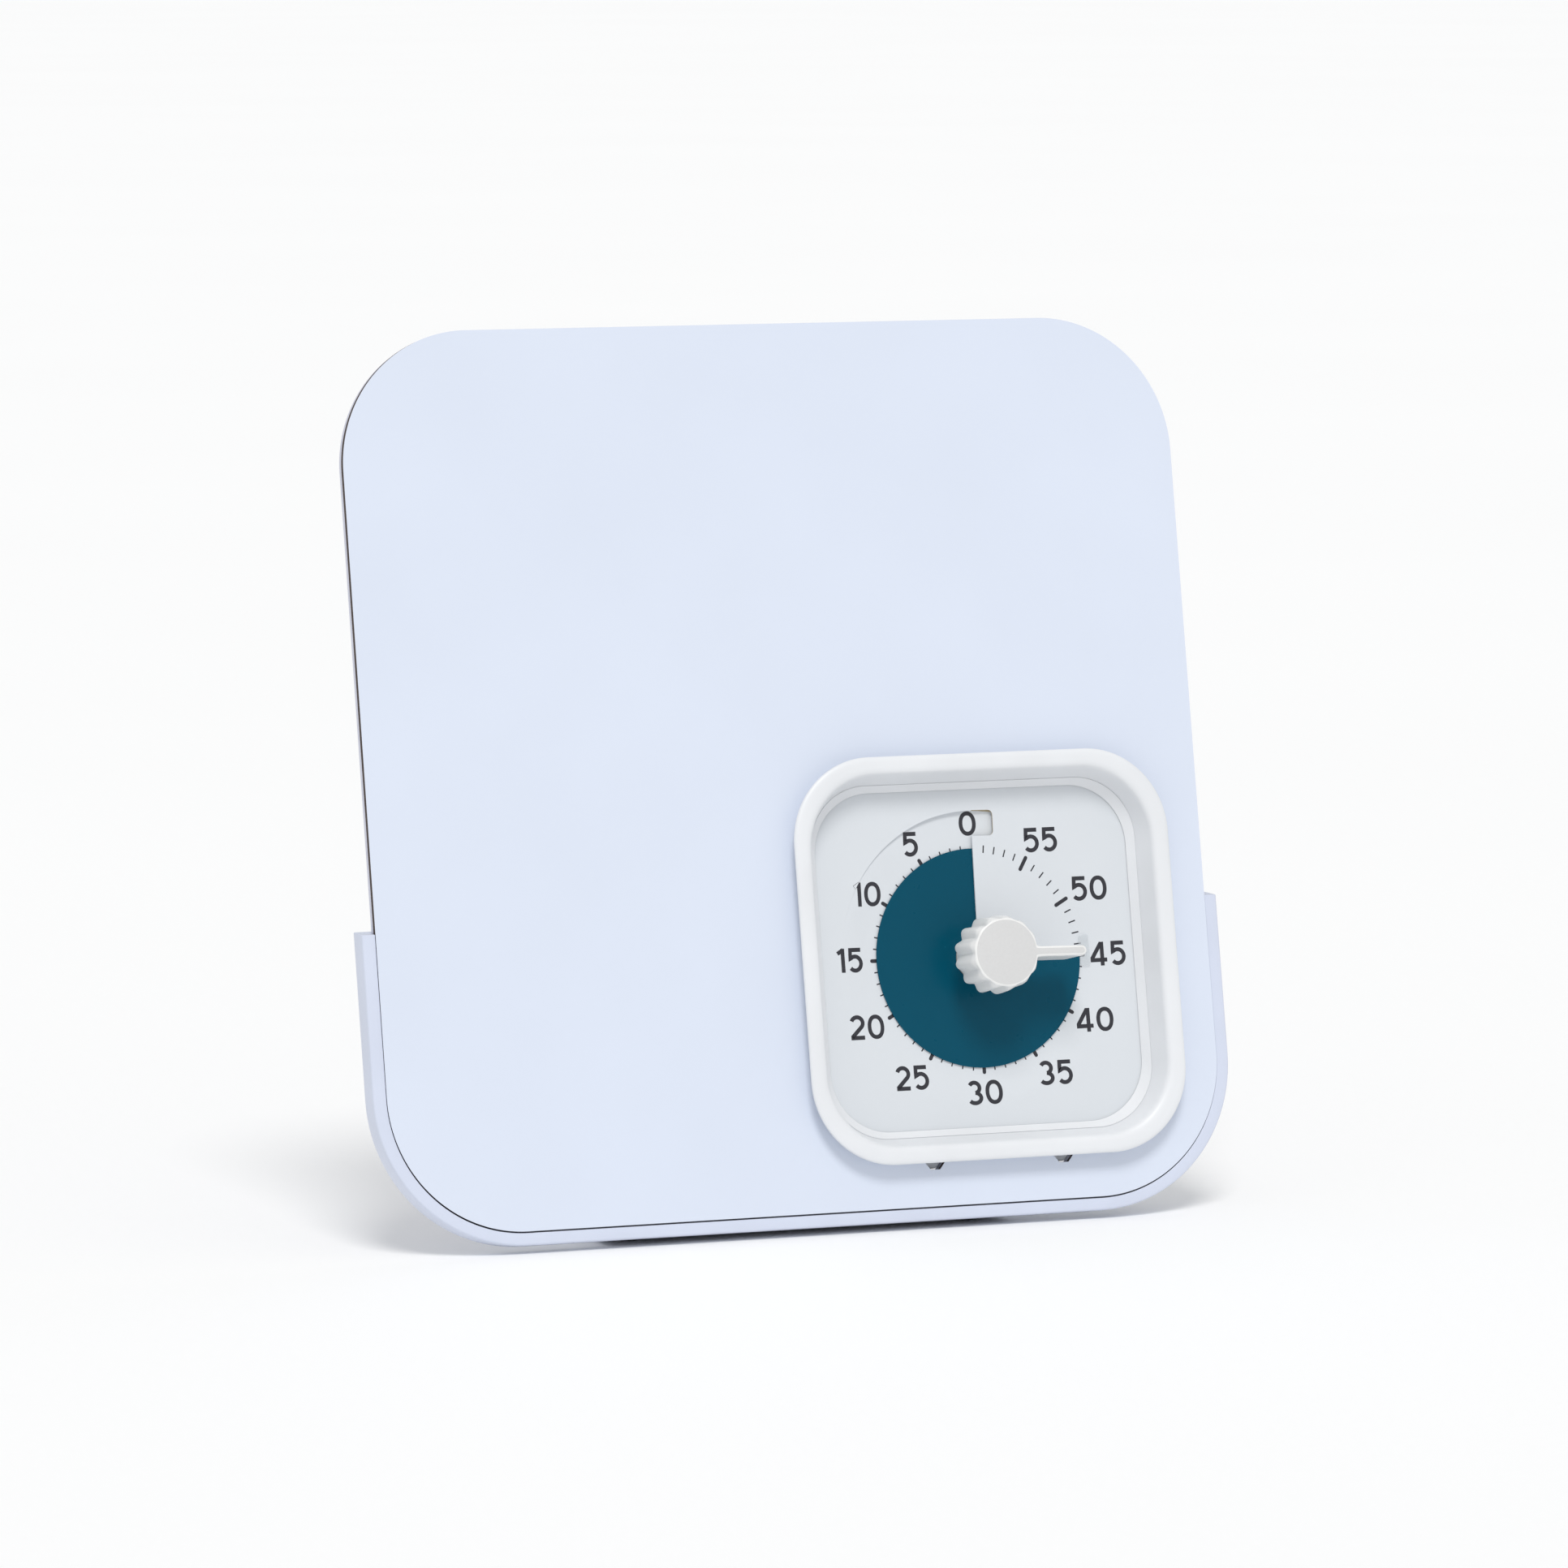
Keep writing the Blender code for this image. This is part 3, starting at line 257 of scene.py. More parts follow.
WRITING = mottled("gloss_writing_film", (0.68, 0.735, 0.85), 0.17, 1.6 * MM, 0.0025 * MM, 0.012, 60 * MM,
                  Coat_Weight=0.25, Coat_Roughness=0.08)
CORE = speckled("dark_fibre_core", (0.045, 0.028, 0.024), (0.10, 0.065, 0.05), 0.75, 0.5 * MM, 0.58,
                0.06 * MM)
PANEL = mottled("panel_moulding", (0.62, 0.63, 0.73), 0.48, 0.5 * MM, 0.012 * MM)
STAND = mottled("stand_moulding", (0.63, 0.675, 0.80), 0.36, 0.45 * MM, 0.010 * MM)
HOUSING = mottled("housing_moulding", (0.76, 0.775, 0.80), 0.40, 0.4 * MM, 0.010 * MM)
FACE = mottled("printed_face", (0.67, 0.70, 0.735), 0.38, 0.35 * MM, 0.004 * MM, 0.008, 40 * MM)
CUT_EDGE = mottled("cut_edge", (0.46, 0.40, 0.29), 0.6, 0.3 * MM, 0.004 * MM)
INK = mottled("printing_ink", (0.022, 0.022, 0.03), 0.42, 0.25 * MM, 0.003 * MM, 0.08, 3 * MM)
TEAL = speckled("teal_sheet", (0.0, 0.068, 0.116), (0.02, 0.17, 0.23), 0.3, 1.3 * MM, 0.80, 0.003 * MM,
                Specular_IOR_Level=0.15)
CLEAR = clear_material()
KNOB_SIDE = mottled("knob_moulding", (0.82, 0.82, 0.81), 0.30, 0.5 * MM, 0.006 * MM)
KNOB_FLAT = mottled("knob_top_grain", (0.64, 0.64, 0.64), 0.55, 0.28 * MM, 0.030 * MM, 0.015, 0.9 * MM)
FOOT = mottled("foot_moulding", (0.60, 0.62, 0.66), 0.45, 0.4 * MM, 0.010 * MM)
RUBBER = mottled("pad_rubber", (0.06, 0.06, 0.065), 0.85, 0.3 * MM, 0.03 * MM, 0.1, 3 * MM)
STEEL = brushed("zinc_plated_steel", (0.60, 0.61, 0.63), 0.28)
BRASS = brushed("turned_brass", (0.74, 0.54, 0.25), 0.3)
NICKEL = brushed("nickel_plate", (0.66, 0.63, 0.58), 0.26)
BLACK = mottled("black_moulding", (0.022, 0.022, 0.025), 0.42, 0.5 * MM, 0.012 * MM, 0.15)
NYLON = mottled("gear_nylon", (0.78, 0.76, 0.66), 0.45, 0.4 * MM, 0.008 * MM)
GREEN = circuit_material()
WRAP = mottled("battery_wrap", (0.020, 0.024, 0.030), 0.3, 0.8 * MM, 0.004 * MM, 0.1)


# Meshes --------------------------------------------------------------------------------------

def finish_mesh(name, bm, sharp=35):
    bmesh.ops.recalc_face_normals(bm, faces=bm.faces)
    mesh = bpy.data.meshes.new(name)
    bm.to_mesh(mesh)
    bm.free()
    mesh.shade_smooth()
    mesh.set_sharp_from_angle(angle=math.radians(sharp))
    return mesh


def rounded(half_x, half_y, radius, steps=6, centre=(0, 0)):
    """The outline of a rectangle with round corners, anticlockwise."""
    points = []
    for quarter, (side_x, side_y) in enumerate(((1, 1), (-1, 1), (-1, -1), (1, -1))):
        for step in range(steps + 1):
            angle = math.pi / 2 * (quarter + step / steps)
            points.append((centre[0] + side_x * (half_x - radius) + radius * math.cos(angle),
                           centre[1] + side_y * (half_y - radius) + radius * math.sin(angle)))
    return points


def loft(name, loops, ring=False, sharp=35):
    """A skin through loops of equal length: closed on itself as a ring, or with its ends filled."""
    bm = bmesh.new()
    rows = [[bm.verts.new(point) for point in loop] for loop in loops]
    pairs = list(zip(rows, rows[1:])) + ([(rows[-1], rows[0])] if ring else [])
    count = len(rows[0])
    for lower, upper in pairs:
        for i in range(count):
            j = (i + 1) % count
            bm.faces.new((lower[i], lower[j], upper[j], upper[i]))
    if not ring:
        bm.faces.new(rows[0])
        bm.faces.new(rows[-1])
    return finish_mesh(name, bm, sharp)


def square_loft(name, sections, ring=False, steps=24, sharp=35):
    """A loft through round-cornered squares, each given as half its side, corner radius and height."""
    loops = [[(x, y, z) for x, y in rounded(half, half, radius, steps)] for half, radius, z in sections]
    return loft(name, loops, ring, sharp)


def plate(name, outlines, low, high):
    """A flat solid between two heights. The first outline is its edge and the rest are holes."""
    curve = bpy.data.curves.new(name, "CURVE")
    curve.dimensions = "2D"
    curve.fill_mode = "BOTH"
    curve.extrude = (high - low) / 2
    for outline in outlines:
        spline = curve.splines.new("POLY")
        spline.points.add(len(outline) - 1)
        for point, (x, y) in zip(spline.points, outline):
            point.co = (x, y, 0, 1)
        spline.use_cyclic_u = True
    holder = bpy.data.objects.new(name, curve)
    bpy.context.scene.collection.objects.link(holder)
    evaluated = holder.evaluated_get(bpy.context.evaluated_depsgraph_get())
    flat = bpy.data.meshes.new_from_object(evaluated)
    bm = bmesh.new()
    bm.from_mesh(flat)
    bmesh.ops.remove_doubles(bm, verts=bm.verts, dist=0.001 * MM)
    bmesh.ops.translate(bm, verts=bm.verts, vec=(0, 0, (low + high) / 2))
    bpy.data.objects.remove(holder)
    bpy.data.curves.remove(curve)
    bpy.data.meshes.remove(flat)
    return finish_mesh(name, bm)


def cylinder(name, radius, low, high, at=(0, 0), sides=48):
    bm = bmesh.new()
    middle = Matrix.Translation((*at, (low + high) / 2))
    bmesh.ops.create_cone(bm, cap_ends=True, segments=sides, radius1=radius, radius2=radius,
                          depth=high - low, matrix=middle)
    return finish_mesh(name, bm)


def piece(name, mesh, matrix, body, finish, nodes=(), finishes=()):
    """A piece of the object: in its frame, on its body, with its finish, in place of its CAD nodes."""
    made = bpy.data.objects.new(name, mesh)
    bpy.context.scene.collection.objects.link(made)
    made.matrix_world = matrix
    made.data.materials.clear()
    for each in (finish, *finishes):
        made.data.materials.append(each)
    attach(made, body)
    if nodes:
        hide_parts(*nodes)
    return made


def soften(part, width, segments=3, limit=30):
    """Rounds the part's sharp edges and keeps its flats flat."""
    modifier = part.modifiers.new("soften", "BEVEL")
    modifier.width = width
    modifier.segments = segments
    modifier.limit_method = "ANGLE"
    modifier.angle_limit = math.radians(limit)
    modifier.harden_normals = True


def carve(part, cutters, operation="DIFFERENCE", finish=None):
    """Cuts or joins meshes in the part's own frame, and leaves one finished mesh."""
    for i, mesh in enumerate(cutters):
        tool = bpy.data.objects.new(f"tool_{i}", mesh)
        bpy.context.scene.collection.objects.link(tool)
        tool.matrix_world = part.matrix_world
        if finish is not None:
            tool.data.materials.append(finish)
        modifier = part.modifiers.new("carve", "BOOLEAN")
        modifier.operation = operation
        modifier.object = tool
        modifier.solver = "EXACT"
        modifier.material_mode = "INDEX" if finish is None else "TRANSFER"
        bpy.context.view_layer.update()
        solid = bpy.data.meshes.new_from_object(part.evaluated_get(bpy.context.evaluated_depsgraph_get()))
        part.modifiers.remove(modifier)
        old = part.data
        part.data = solid
        bpy.data.meshes.remove(old)
        bpy.data.objects.remove(tool)
        bpy.data.meshes.remove(mesh)
    part.data.set_sharp_from_angle(angle=math.radians(35))


# Board ---------------------------------------------------------------------------------------

FILM_THICK = 0.25 * MM


def notch_outline(clear=0.0):
    """Half the width against the distance below the timer's axis, for a foot or its notch."""
    shoulder = (NOTCH_HALF - clear, NOTCH_SHOULDER - clear / 2)
    floor = (NOTCH_FLOOR_HALF - clear / 2, NOTCH_FLOOR - clear)
    return shoulder, floor


def foot_points(x, top, clear=0.0):
    """The outline of a foot, or of its notch, hanging from the height top."""
    (shoulder_half, shoulder), (floor_half, floor) = notch_outline(clear)
    return [(x - shoulder_half, -top), (x - shoulder_half, -shoulder), (x - floor_half, -floor),
            (x + floor_half, -floor), (x + shoulder_half, -shoulder), (x + shoulder_half, -top)]


def cutout_outline(steps=16):
    """The timer's opening, with the two notches in its lower edge."""
    half = SPIGOT_HALF + CUTOUT_CLEAR
    square = rounded(half, half, SPIGOT_RADIUS + CUTOUT_CLEAR, steps)
    notches = foot_points(-NOTCH_X, half) + foot_points(NOTCH_X, half)
    lower_right = 3 * (steps + 1)
    points = square[:lower_right] + notches + square[lower_right:]
    return [(x + TIMER_ON_BOARD.x, y + TIMER_ON_BOARD.y) for x, y in points]


def make_board():
    """The white film on its dark core, and the light panel behind them."""
    hole = cutout_outline()
    edge = rounded(BOARD_HALF, BOARD_HALF, BOARD_RADIUS, 40)
    film = piece("writing_film", plate("writing_film", [edge, hole], -FILM_THICK, 0), BOARD, "board", WRITING,
                 ["writing_board"])
    soften(film, 0.1 * MM, 2)
    inset = BOARD_HALF - 0.02 * MM
    edge = rounded(inset, inset, BOARD_RADIUS, 40)
    core = plate("board_core", [edge, hole], -SHEET_THICK, -FILM_THICK - 0.01 * MM)
    core = piece("board_core", core, BOARD, "board", CORE, ["writing_board"])
    soften(core, 0.15 * MM, 2)
    half = BOARD_HALF - PANEL_INSET
    edge = rounded(half, half, BOARD_RADIUS - PANEL_INSET, 40)
    panel = plate("backing_panel", [edge, hole], PANEL_BACK, -SHEET_THICK - 0.05 * MM)
    panel = piece("backing_panel", panel, BOARD, "board", PANEL, ["back_panel"])
    soften(panel, 0.45 * MM, 4)


# Stand ---------------------------------------------------------------------------------------

SIDE_GAP = 0.06 * MM


def filleted(corners, steps=4):
    """An outline with each corner rounded. corners are x, y and radius."""
    points = []
    count = len(corners)
    for i, (x, y, radius) in enumerate(corners):
        here = Vector((x, y))
        to_before = (Vector(corners[i - 1][:2]) - here).normalized()
        to_after = (Vector(corners[(i + 1) % count][:2]) - here).normalized()
        half = to_before.angle(to_after) / 2
        reach = radius / math.tan(half)
        centre = here + (to_before + to_after).normalized() * radius / math.sin(half)
        start = (here + to_before * reach - centre).normalized()
        end = (here + to_after * reach - centre).normalized()
        for k in range(steps + 1):
            points.append(tuple(centre + start.slerp(end, k / steps) * radius))
    return points


def cradle_section(downward):
    """The cradle's L section, as distance outside the board's edge and height.

    downward is 0 beside the board and 1 below it.
    """
    outer = CRADLE_GAP + CRADLE_WALL
    gap = SIDE_GAP + (CRADLE_GAP - SIDE_GAP) * downward
    ledge = PANEL_BACK - GAP
    soft, crisp = 0.8 * MM, 0.25 * MM
    return filleted(((outer, -GAP, soft), (outer, CRADLE_BACK, soft), (-LIP_INSET, CRADLE_BACK, soft),
                     (-LIP_INSET, ledge, soft), (gap, ledge, crisp), (gap, -GAP, crisp)))


def make_cradle(steps=36):
    """The section swept down one arm, round the foot of the board and up the other arm."""
    arm_top = ARM_HEIGHT - BOARD_HALF
    corner = BOARD_HALF - BOARD_RADIUS
    ends = [[(side * (BOARD_HALF + off), arm_top - z * math.tan(LEAN), z) for off, z in cradle_section(0)]
            for side in (-1, 1)]
    loops = [ends[0]]
    for side, first in ((-1, 180), (1, 270)):
        for step in range(steps + 1):
            angle = math.radians(first + 90 * step / steps)
            out_x, out_y = math.cos(angle), math.sin(angle)
            section = cradle_section(abs(out_y))
            loops.append([(side * corner + out_x * (BOARD_RADIUS + off),
                           -corner + out_y * (BOARD_RADIUS + off), z) for off, z in section])
    mesh = loft("cradle_moulding", [*loops, ends[1]])
    cradle = piece("cradle_moulding", mesh, BOARD, "stand", STAND, ["cradle"])
    soften(cradle, 0.5 * MM, 4, 40)


# Timer housing -------------------------------------------------------------------------------

def eased(keys, steps):
    """Points along a smooth curve through key sections."""
    points = []
    padded = [keys[0], *keys, keys[-1]]
    for a, b, c, d in zip(padded, padded[1:], padded[2:], padded[3:]):
        for step in range(steps):
            t = step / steps
            points.append(tuple(0.5 * (2 * q + (r - p) * t + (2 * p - 5 * q + 4 * r - s) * t * t
                                       + (3 * q - p - 3 * r + s) * t ** 3)
                                for p, q, r, s in zip(a, b, c, d)))
    points.append(keys[-1])
    return points


def ring_sections(keys):
    """Sections of the ring, given in millimetres in from its edge, off its radius and off the board."""
    return [(RING_HALF - inset * MM, RING_RADIUS - tighter * MM, height * MM)
            for inset, tighter, height in keys]


def make_bezel():
    """The front ring: a rim that flares off the board, a steep inner side with a fine joint, a spigot."""
    rim = ring_sections(((3.4, 3.0, 0.3), (1.9, 1.7, 2.6), (0.6, 0.55, 4.7), (0.1, 0.1, 5.4),
                         (0.02, 0.0, 5.9), (0.35, 0.3, 6.4), (1.4, 1.2, 6.8), (2.8, 2.2, 6.85),
                         (4.3, 3.1, 6.75), (5.5, 3.8, 6.3), (6.2, 4.15, 5.6), (6.6, 4.35, 4.7)))
    band = ring_sections(((6.85, 4.5, 3.4), (8.95, 7.6, -1.7), (9.1, 7.9, -2.3), (9.3, 8.0, -2.3),
                          (9.3, 8.0, -2.1), (11.6, 8.5, -4.7)))
    back = [(DIAL_HALF + GAP, FACE_RADIUS + 1.6 * MM, GAP - DIAL_DEPTH),
            (DIAL_HALF + GAP, FACE_RADIUS + 1.6 * MM, SPIGOT_BACK),
            (SPIGOT_HALF, SPIGOT_RADIUS, SPIGOT_BACK), (SPIGOT_HALF, SPIGOT_RADIUS, GAP)]
    mesh = square_loft("bezel_moulding", [*eased(rim, 4), *band, *back], ring=True, steps=32, sharp=28)
    piece("bezel_moulding", mesh, TIMER, "timer", HOUSING, ["bezel_ring"])


def make_timer_feet():
    for name, node, x in (("left_foot_rib", "timer_foot_left", -NOTCH_X),
                          ("right_foot_rib", "timer_foot_right", NOTCH_X)):
        outline = foot_points(x, SPIGOT_HALF + GAP, NOTCH_CLEAR)
        mesh = plate(name, [outline], TIMER_FOOT_BACK, TIMER_FOOT_FRONT)
        soften(piece(name, mesh, TIMER, "timer", FOOT, [node]), 0.4 * MM, 4)


# Dial ----------------------------------------------------------------------------------------

FADE_TURN = 85
FADE_FROM, FADE_TO = 40 * MM, RAMP_RADIUS
SKIN_STEP = 0.004 * MM


def smooth(x):
    x = max(0.0, min(1.0, x))
    return x * x * (3 - 2 * x)


def helix_height(turn):
    """The ramp's height at an angle in degrees anticlockwise from the slit."""
    return -PITCH - RAMP_DROP + PITCH * turn / 360


def ramp_height(radius, turn):
    """The ramp's upper side: a helix that blends out into the flat face beyond the disc."""
    blend = smooth(turn / FADE_TURN) * smooth((radius - FADE_FROM) / (FADE_TO - FADE_FROM))
    return helix_height(turn) * (1 - blend) - SKIN_STEP * blend


def face_height(x, y):
    """The height of the dial's upper side at a point, the lower layer's under the slit's notch."""
    radius = math.hypot(x, y)
    if radius > RAMP_RADIUS:
        return 0.0
    turn = (math.degrees(math.atan2(y, x)) - 90) % 360
    in_notch = x < SLIT_NOTCH_RIGHT and y > SLIT_END and turn > 360 - RAMP_UNDERLAP
    return ramp_height(radius, turn - 360 if in_notch else turn)


def wound_sheet(name, radii, start, sweep, top, thickness, step=2.0):
    """A sheet wound about Z, with a plain helix below. top gives its height from radius and turn."""
    count = round(sweep / step)
    loops = []
    for i in range(count + 1):
        turn = start + sweep * i / count
        angle = math.radians(90 + turn)
        along = Vector((math.cos(angle), math.sin(angle), 0))
        upper = [along * radius + Vector((0, 0, top(radius, turn))) for radius in radii]
        under = top(radii[0], turn) - thickness
        lower = [along * radius + Vector((0, 0, under)) for radius in (radii[-1], radii[0])]
        loops.append([*upper, *lower])
    return loft(name, loops)


def make_dial():
    """The printed face, with the ramp that the disc slides on, the slit and its notch."""
    square_on = Matrix.Rotation(-DIAL_TURN, 2)
    corners = rounded(DIAL_HALF, DIAL_HALF, DIAL_RADIUS, 16)
    outline = [square_on @ Vector(point) for point in corners]
    hole = [(RAMP_RADIUS * math.cos(a), RAMP_RADIUS * math.sin(a))
            for a in (2 * math.pi * k / 240 for k in range(240))]
    mesh = plate("dial_face", [outline, hole], -DIAL_THICK, 0)
    dial = piece("dial_face", mesh, DIAL, "timer", FACE, ["dial_plate"], [CUT_EDGE])
    faded = [FADE_FROM + (FADE_TO - FADE_FROM) * k / 8 for k in range(1, 9)]
    radii = [HUB_HOLE, 20 * MM, 30 * MM, FADE_FROM, *faded, RAMP_RADIUS + RAMP_LAP]
    sheet = wound_sheet("ramp", radii, -RAMP_UNDERLAP, 360 + RAMP_UNDERLAP, ramp_height, RAMP_THICK)
    carve(dial, [sheet], "UNION")
    notch_low, notch_high = SLIT_END, RAMP_RADIUS + 0.2 * MM
    notch_left = -1 * MM
    outline = rounded((SLIT_NOTCH_RIGHT - notch_left) / 2, (notch_high - notch_low) / 2, SLIT_CORNER, 8,
                      ((SLIT_NOTCH_RIGHT + notch_left) / 2, (notch_high + notch_low) / 2))
    carve(dial, [plate("slit_notch", [outline], -1.2 * MM, 1 * MM)], finish=CUT_EDGE)


def make_disc():
    """One turn of teal sheet on the ramp's own helix, and the clear tab on its leading edge."""
    top = DISC_LIFT + DISC_THICK
    sheet = wound_sheet("disc_sheet", [DISC_INNER, 20 * MM, 30 * MM, DISC_RADIUS - 0.05 * MM, DISC_RADIUS],
                        SET_ANGLE - 360, 360, lambda radius, turn: helix_height(turn) + top, DISC_THICK)
    piece("disc_sheet", sheet, DIAL, "disc", TEAL, ["timer_disc"])
    corner = 0.9 * MM
    middle = (TAB_INNER + TAB_OUTER) / 2
    half_long = math.radians(TAB_BEHIND + TAB_AHEAD) / 2 * middle
    outline = rounded(half_long, (TAB_OUTER - TAB_INNER) / 2, corner, 6)
    mesh = plate("clear_tab", [outline], 0, DISC_THICK)
    for vertex in mesh.vertices:
        turn = SET_ANGLE + (TAB_AHEAD - TAB_BEHIND) / 2 - math.degrees(vertex.co.x / middle)
        radius = middle + vertex.co.y
        angle = math.radians(90 + turn)
        height = helix_height(turn) + DISC_LIFT + vertex.co.z
        vertex.co = (radius * math.cos(angle), radius * math.sin(angle), height)
    piece("clear_tab", mesh, DIAL, "disc", CLEAR, ["disc_tab"])


# Printing: numbers on the dial and its minute marks --------------------------------------------

NUMERAL_SIZE = 1.03
STROKE = 1.4 * MM
INK_PROUD = 0.03 * MM
INK_SUNK = 0.05 * MM
LINE_REACH = 3.4 * MM
OVAL_REACH = 2.42 * MM
SQUARENESS = 0.92
MAJOR_TICK = (34.2 * MM, 40 * MM, 1.3 * MM)
MINOR_TICK = (36.3 * MM, 38.9 * MM, 0.45 * MM)


def arc(centre_x, centre_y, radius_x, radius_y, start, end, steps=22):
    """Points of an elliptic arc, with angles in degrees."""
    angles = [math.radians(start + (end - start) * k / steps) for k in range(steps + 1)]
    return [(centre_x * MM + radius_x * MM * math.cos(a), centre_y * MM + radius_y * MM * math.sin(a))
            for a in angles]


def line(*points):
    return [(x * MM, y * MM) for x, y in points]


def oval():
    """The zero's centre line, a little squarer than an ellipse."""
    points = []
    for k in range(48):
        a = 2 * math.pi * k / 48
        c, s = math.cos(a), math.sin(a)
        points.append((OVAL_REACH * math.copysign(abs(c) ** SQUARENESS, c),
                       LINE_REACH * math.copysign(abs(s) ** SQUARENESS, s)))
    return points


# Each digit is a width in millimetres and its centre lines, with the origin at its middle
DIGITS = {
    "0": (6.0, [("closed", oval())]),
    "1": (2.7, [("open", line((0.72, 4.0), (0.72, -4.0))), ("open", line((0.95, 3.62), (-1.15, 2.35)))]),
    "2": (5.2, [("open", arc(-0.05, 1.47, 2.05, 1.97, 160, -38) + line((-2.05, -3.25))),
                ("open", line((-2.45, -3.44), (2.45, -3.44)))]),
    "3": (5.2, [("open", arc(-0.15, 1.68, 1.85, 1.76, 150, -82)),
                ("open", arc(-0.2, -1.72, 2.2, 1.72, 84, -146))]),
    "4": (6.1, [("open", line((1.05, 3.75), (-2.45, -1.65))), ("open", line((-2.95, -2.05), (3.0, -2.05))),
                ("open", line((1.28, 4.0), (1.28, -4.0)))]),
    "5": (5.4, [("open", line((2.2, 3.44), (-1.72, 3.44), (-1.86, 0.55))
                 + arc(-0.1, -1.1, 2.25, 2.34, 128, -140))]),
}
DIGIT_GAP = 1.25
MINUTES_AT = {
    0: (0, 46.5), 5: (-22, 40.2), 10: (-39.5, 23.7),
    15: (-47.8, 1.3), 20: (-43.2, -21.8), 25: (-28, -40),
    30: (-1.2, -46.3), 35: (25.7, -40.8), 40: (41.8, -23.3),
    45: (48.5, -0.7), 50: (43.3, 22.2), 55: (26.2, 39.7),
}


def resampled(points, closed, longest=1.2 * MM):
    """The same line with no step longer than longest."""
    result = []
    ends = points[1:] + ([points[0]] if closed else [])
    for (ax, ay), (bx, by) in zip(points, ends):
        parts = max(1, math.ceil(math.hypot(bx - ax, by - ay) / longest))
        result += [(ax + (bx - ax) * k / parts, ay + (by - ay) * k / parts) for k in range(parts)]
    return result if closed else result + [points[-1]]


def stroke(bm, points, closed, width):
    """A raised line of ink that follows the dial's surface."""
    points = resampled(points, closed)
    count = len(points)
    rows = []
    for i, point in enumerate(points):
        before = Vector(points[i - 1] if i or closed else point)
        after = Vector(points[(i + 1) % count] if i < count - 1 or closed else point)
        here = Vector(point)
        incoming = (here - before).normalized() if (here - before).length else (after - here).normalized()
        outgoing = (after - here).normalized() if (after - here).length else incoming
        side = Vector((-(incoming + outgoing).y, (incoming + outgoing).x)).normalized()
        reach = width / 2 / max(0.55, side.dot(Vector((-incoming.y, incoming.x))))
        row = []
        for across, lift in ((1, INK_PROUD), (-1, INK_PROUD), (-1, -INK_SUNK), (1, -INK_SUNK)):
            x, y = here + side * reach * across
            row.append(bm.verts.new((x, y, face_height(x, y) + lift)))
        rows.append(row)
    pairs = list(zip(rows, rows[1:])) + ([(rows[-1], rows[0])] if closed else [])
    for lower, upper in pairs:
        for i in range(4):
            j = (i + 1) % 4
            bm.faces.new((lower[i], lower[j], upper[j], upper[i]))
    if not closed:
        bm.faces.new(rows[0])
        bm.faces.new(rows[-1])


def make_numerals():
    """The numbers stand square to the board, and their places are given that way too."""
    square_on = Matrix.Rotation(-DIAL_TURN, 2)
    bm = bmesh.new()
    for minutes, (at_x, at_y) in MINUTES_AT.items():
        text = str(minutes)
        total = sum(DIGITS[d][0] for d in text) + DIGIT_GAP * (len(text) - 1)
        left = -total / 2
        for digit in text:
            width, lines = DIGITS[digit]
            middle_x = (left + width / 2) * MM * NUMERAL_SIZE + at_x * MM
            for kind, points in lines:
                placed = [square_on @ Vector((middle_x + x * NUMERAL_SIZE, y * NUMERAL_SIZE + at_y * MM))
                          for x, y in points]
                stroke(bm, placed, kind == "closed", STROKE)
            left += width + DIGIT_GAP
    piece("minute_numbers", finish_mesh("minute_numbers", bm), DIAL, "timer", INK)


def make_ticks():
    """A short line at each minute and a heavier round-ended one at each five."""
    bm = bmesh.new()
    for minute in range(1, 60):
        angle = math.radians(90 + 6 * minute)
        major = minute % 5 == 0
        inner, outer, width = MAJOR_TICK if major else MINOR_TICK
        along = Vector((math.cos(angle), math.sin(angle)))
        side = Vector((-math.sin(angle), math.cos(angle)))
        half = width / 2
        if major:
            ends = [(inner + half, math.pi / 2), (outer - half, -math.pi / 2)]
            outline = [along * (reach + half * math.cos(a)) + side * half * math.sin(a)
                       for reach, first in ends for a in (first + math.pi * k / 8 for k in range(9))]
        else:
            outline = [along * reach + side * offset
                       for reach, offset in ((inner, half), (inner, -half), (outer, -half), (outer, half))]
        loops = [[bm.verts.new((x, y, face_height(x, y) + lift)) for x, y in outline]
                 for lift in (INK_PROUD, -INK_SUNK)]
        bm.faces.new(loops[0])
        bm.faces.new(loops[1])
        count = len(outline)
        for i in range(count):
            j = (i + 1) % count
            bm.faces.new((loops[0][i], loops[0][j], loops[1][j], loops[1][i]))
    piece("minute_marks", finish_mesh("minute_marks", bm), DIAL, "timer", INK)


# Knob ----------------------------------------------------------------------------------------

def knob_angles():
    """Directions round the knob from its pointer, closer together along the fin."""
    fine = [0.35 * k for k in range(1, 40)]
    coarse = [14 + 1.2 * k for k in range(1, 138)]
    half_turn = [a for a in fine + coarse if a < 179.6]
    return [math.radians(a) for a in [0.0, *half_turn, 180.0, *(-a for a in reversed(half_turn))]]


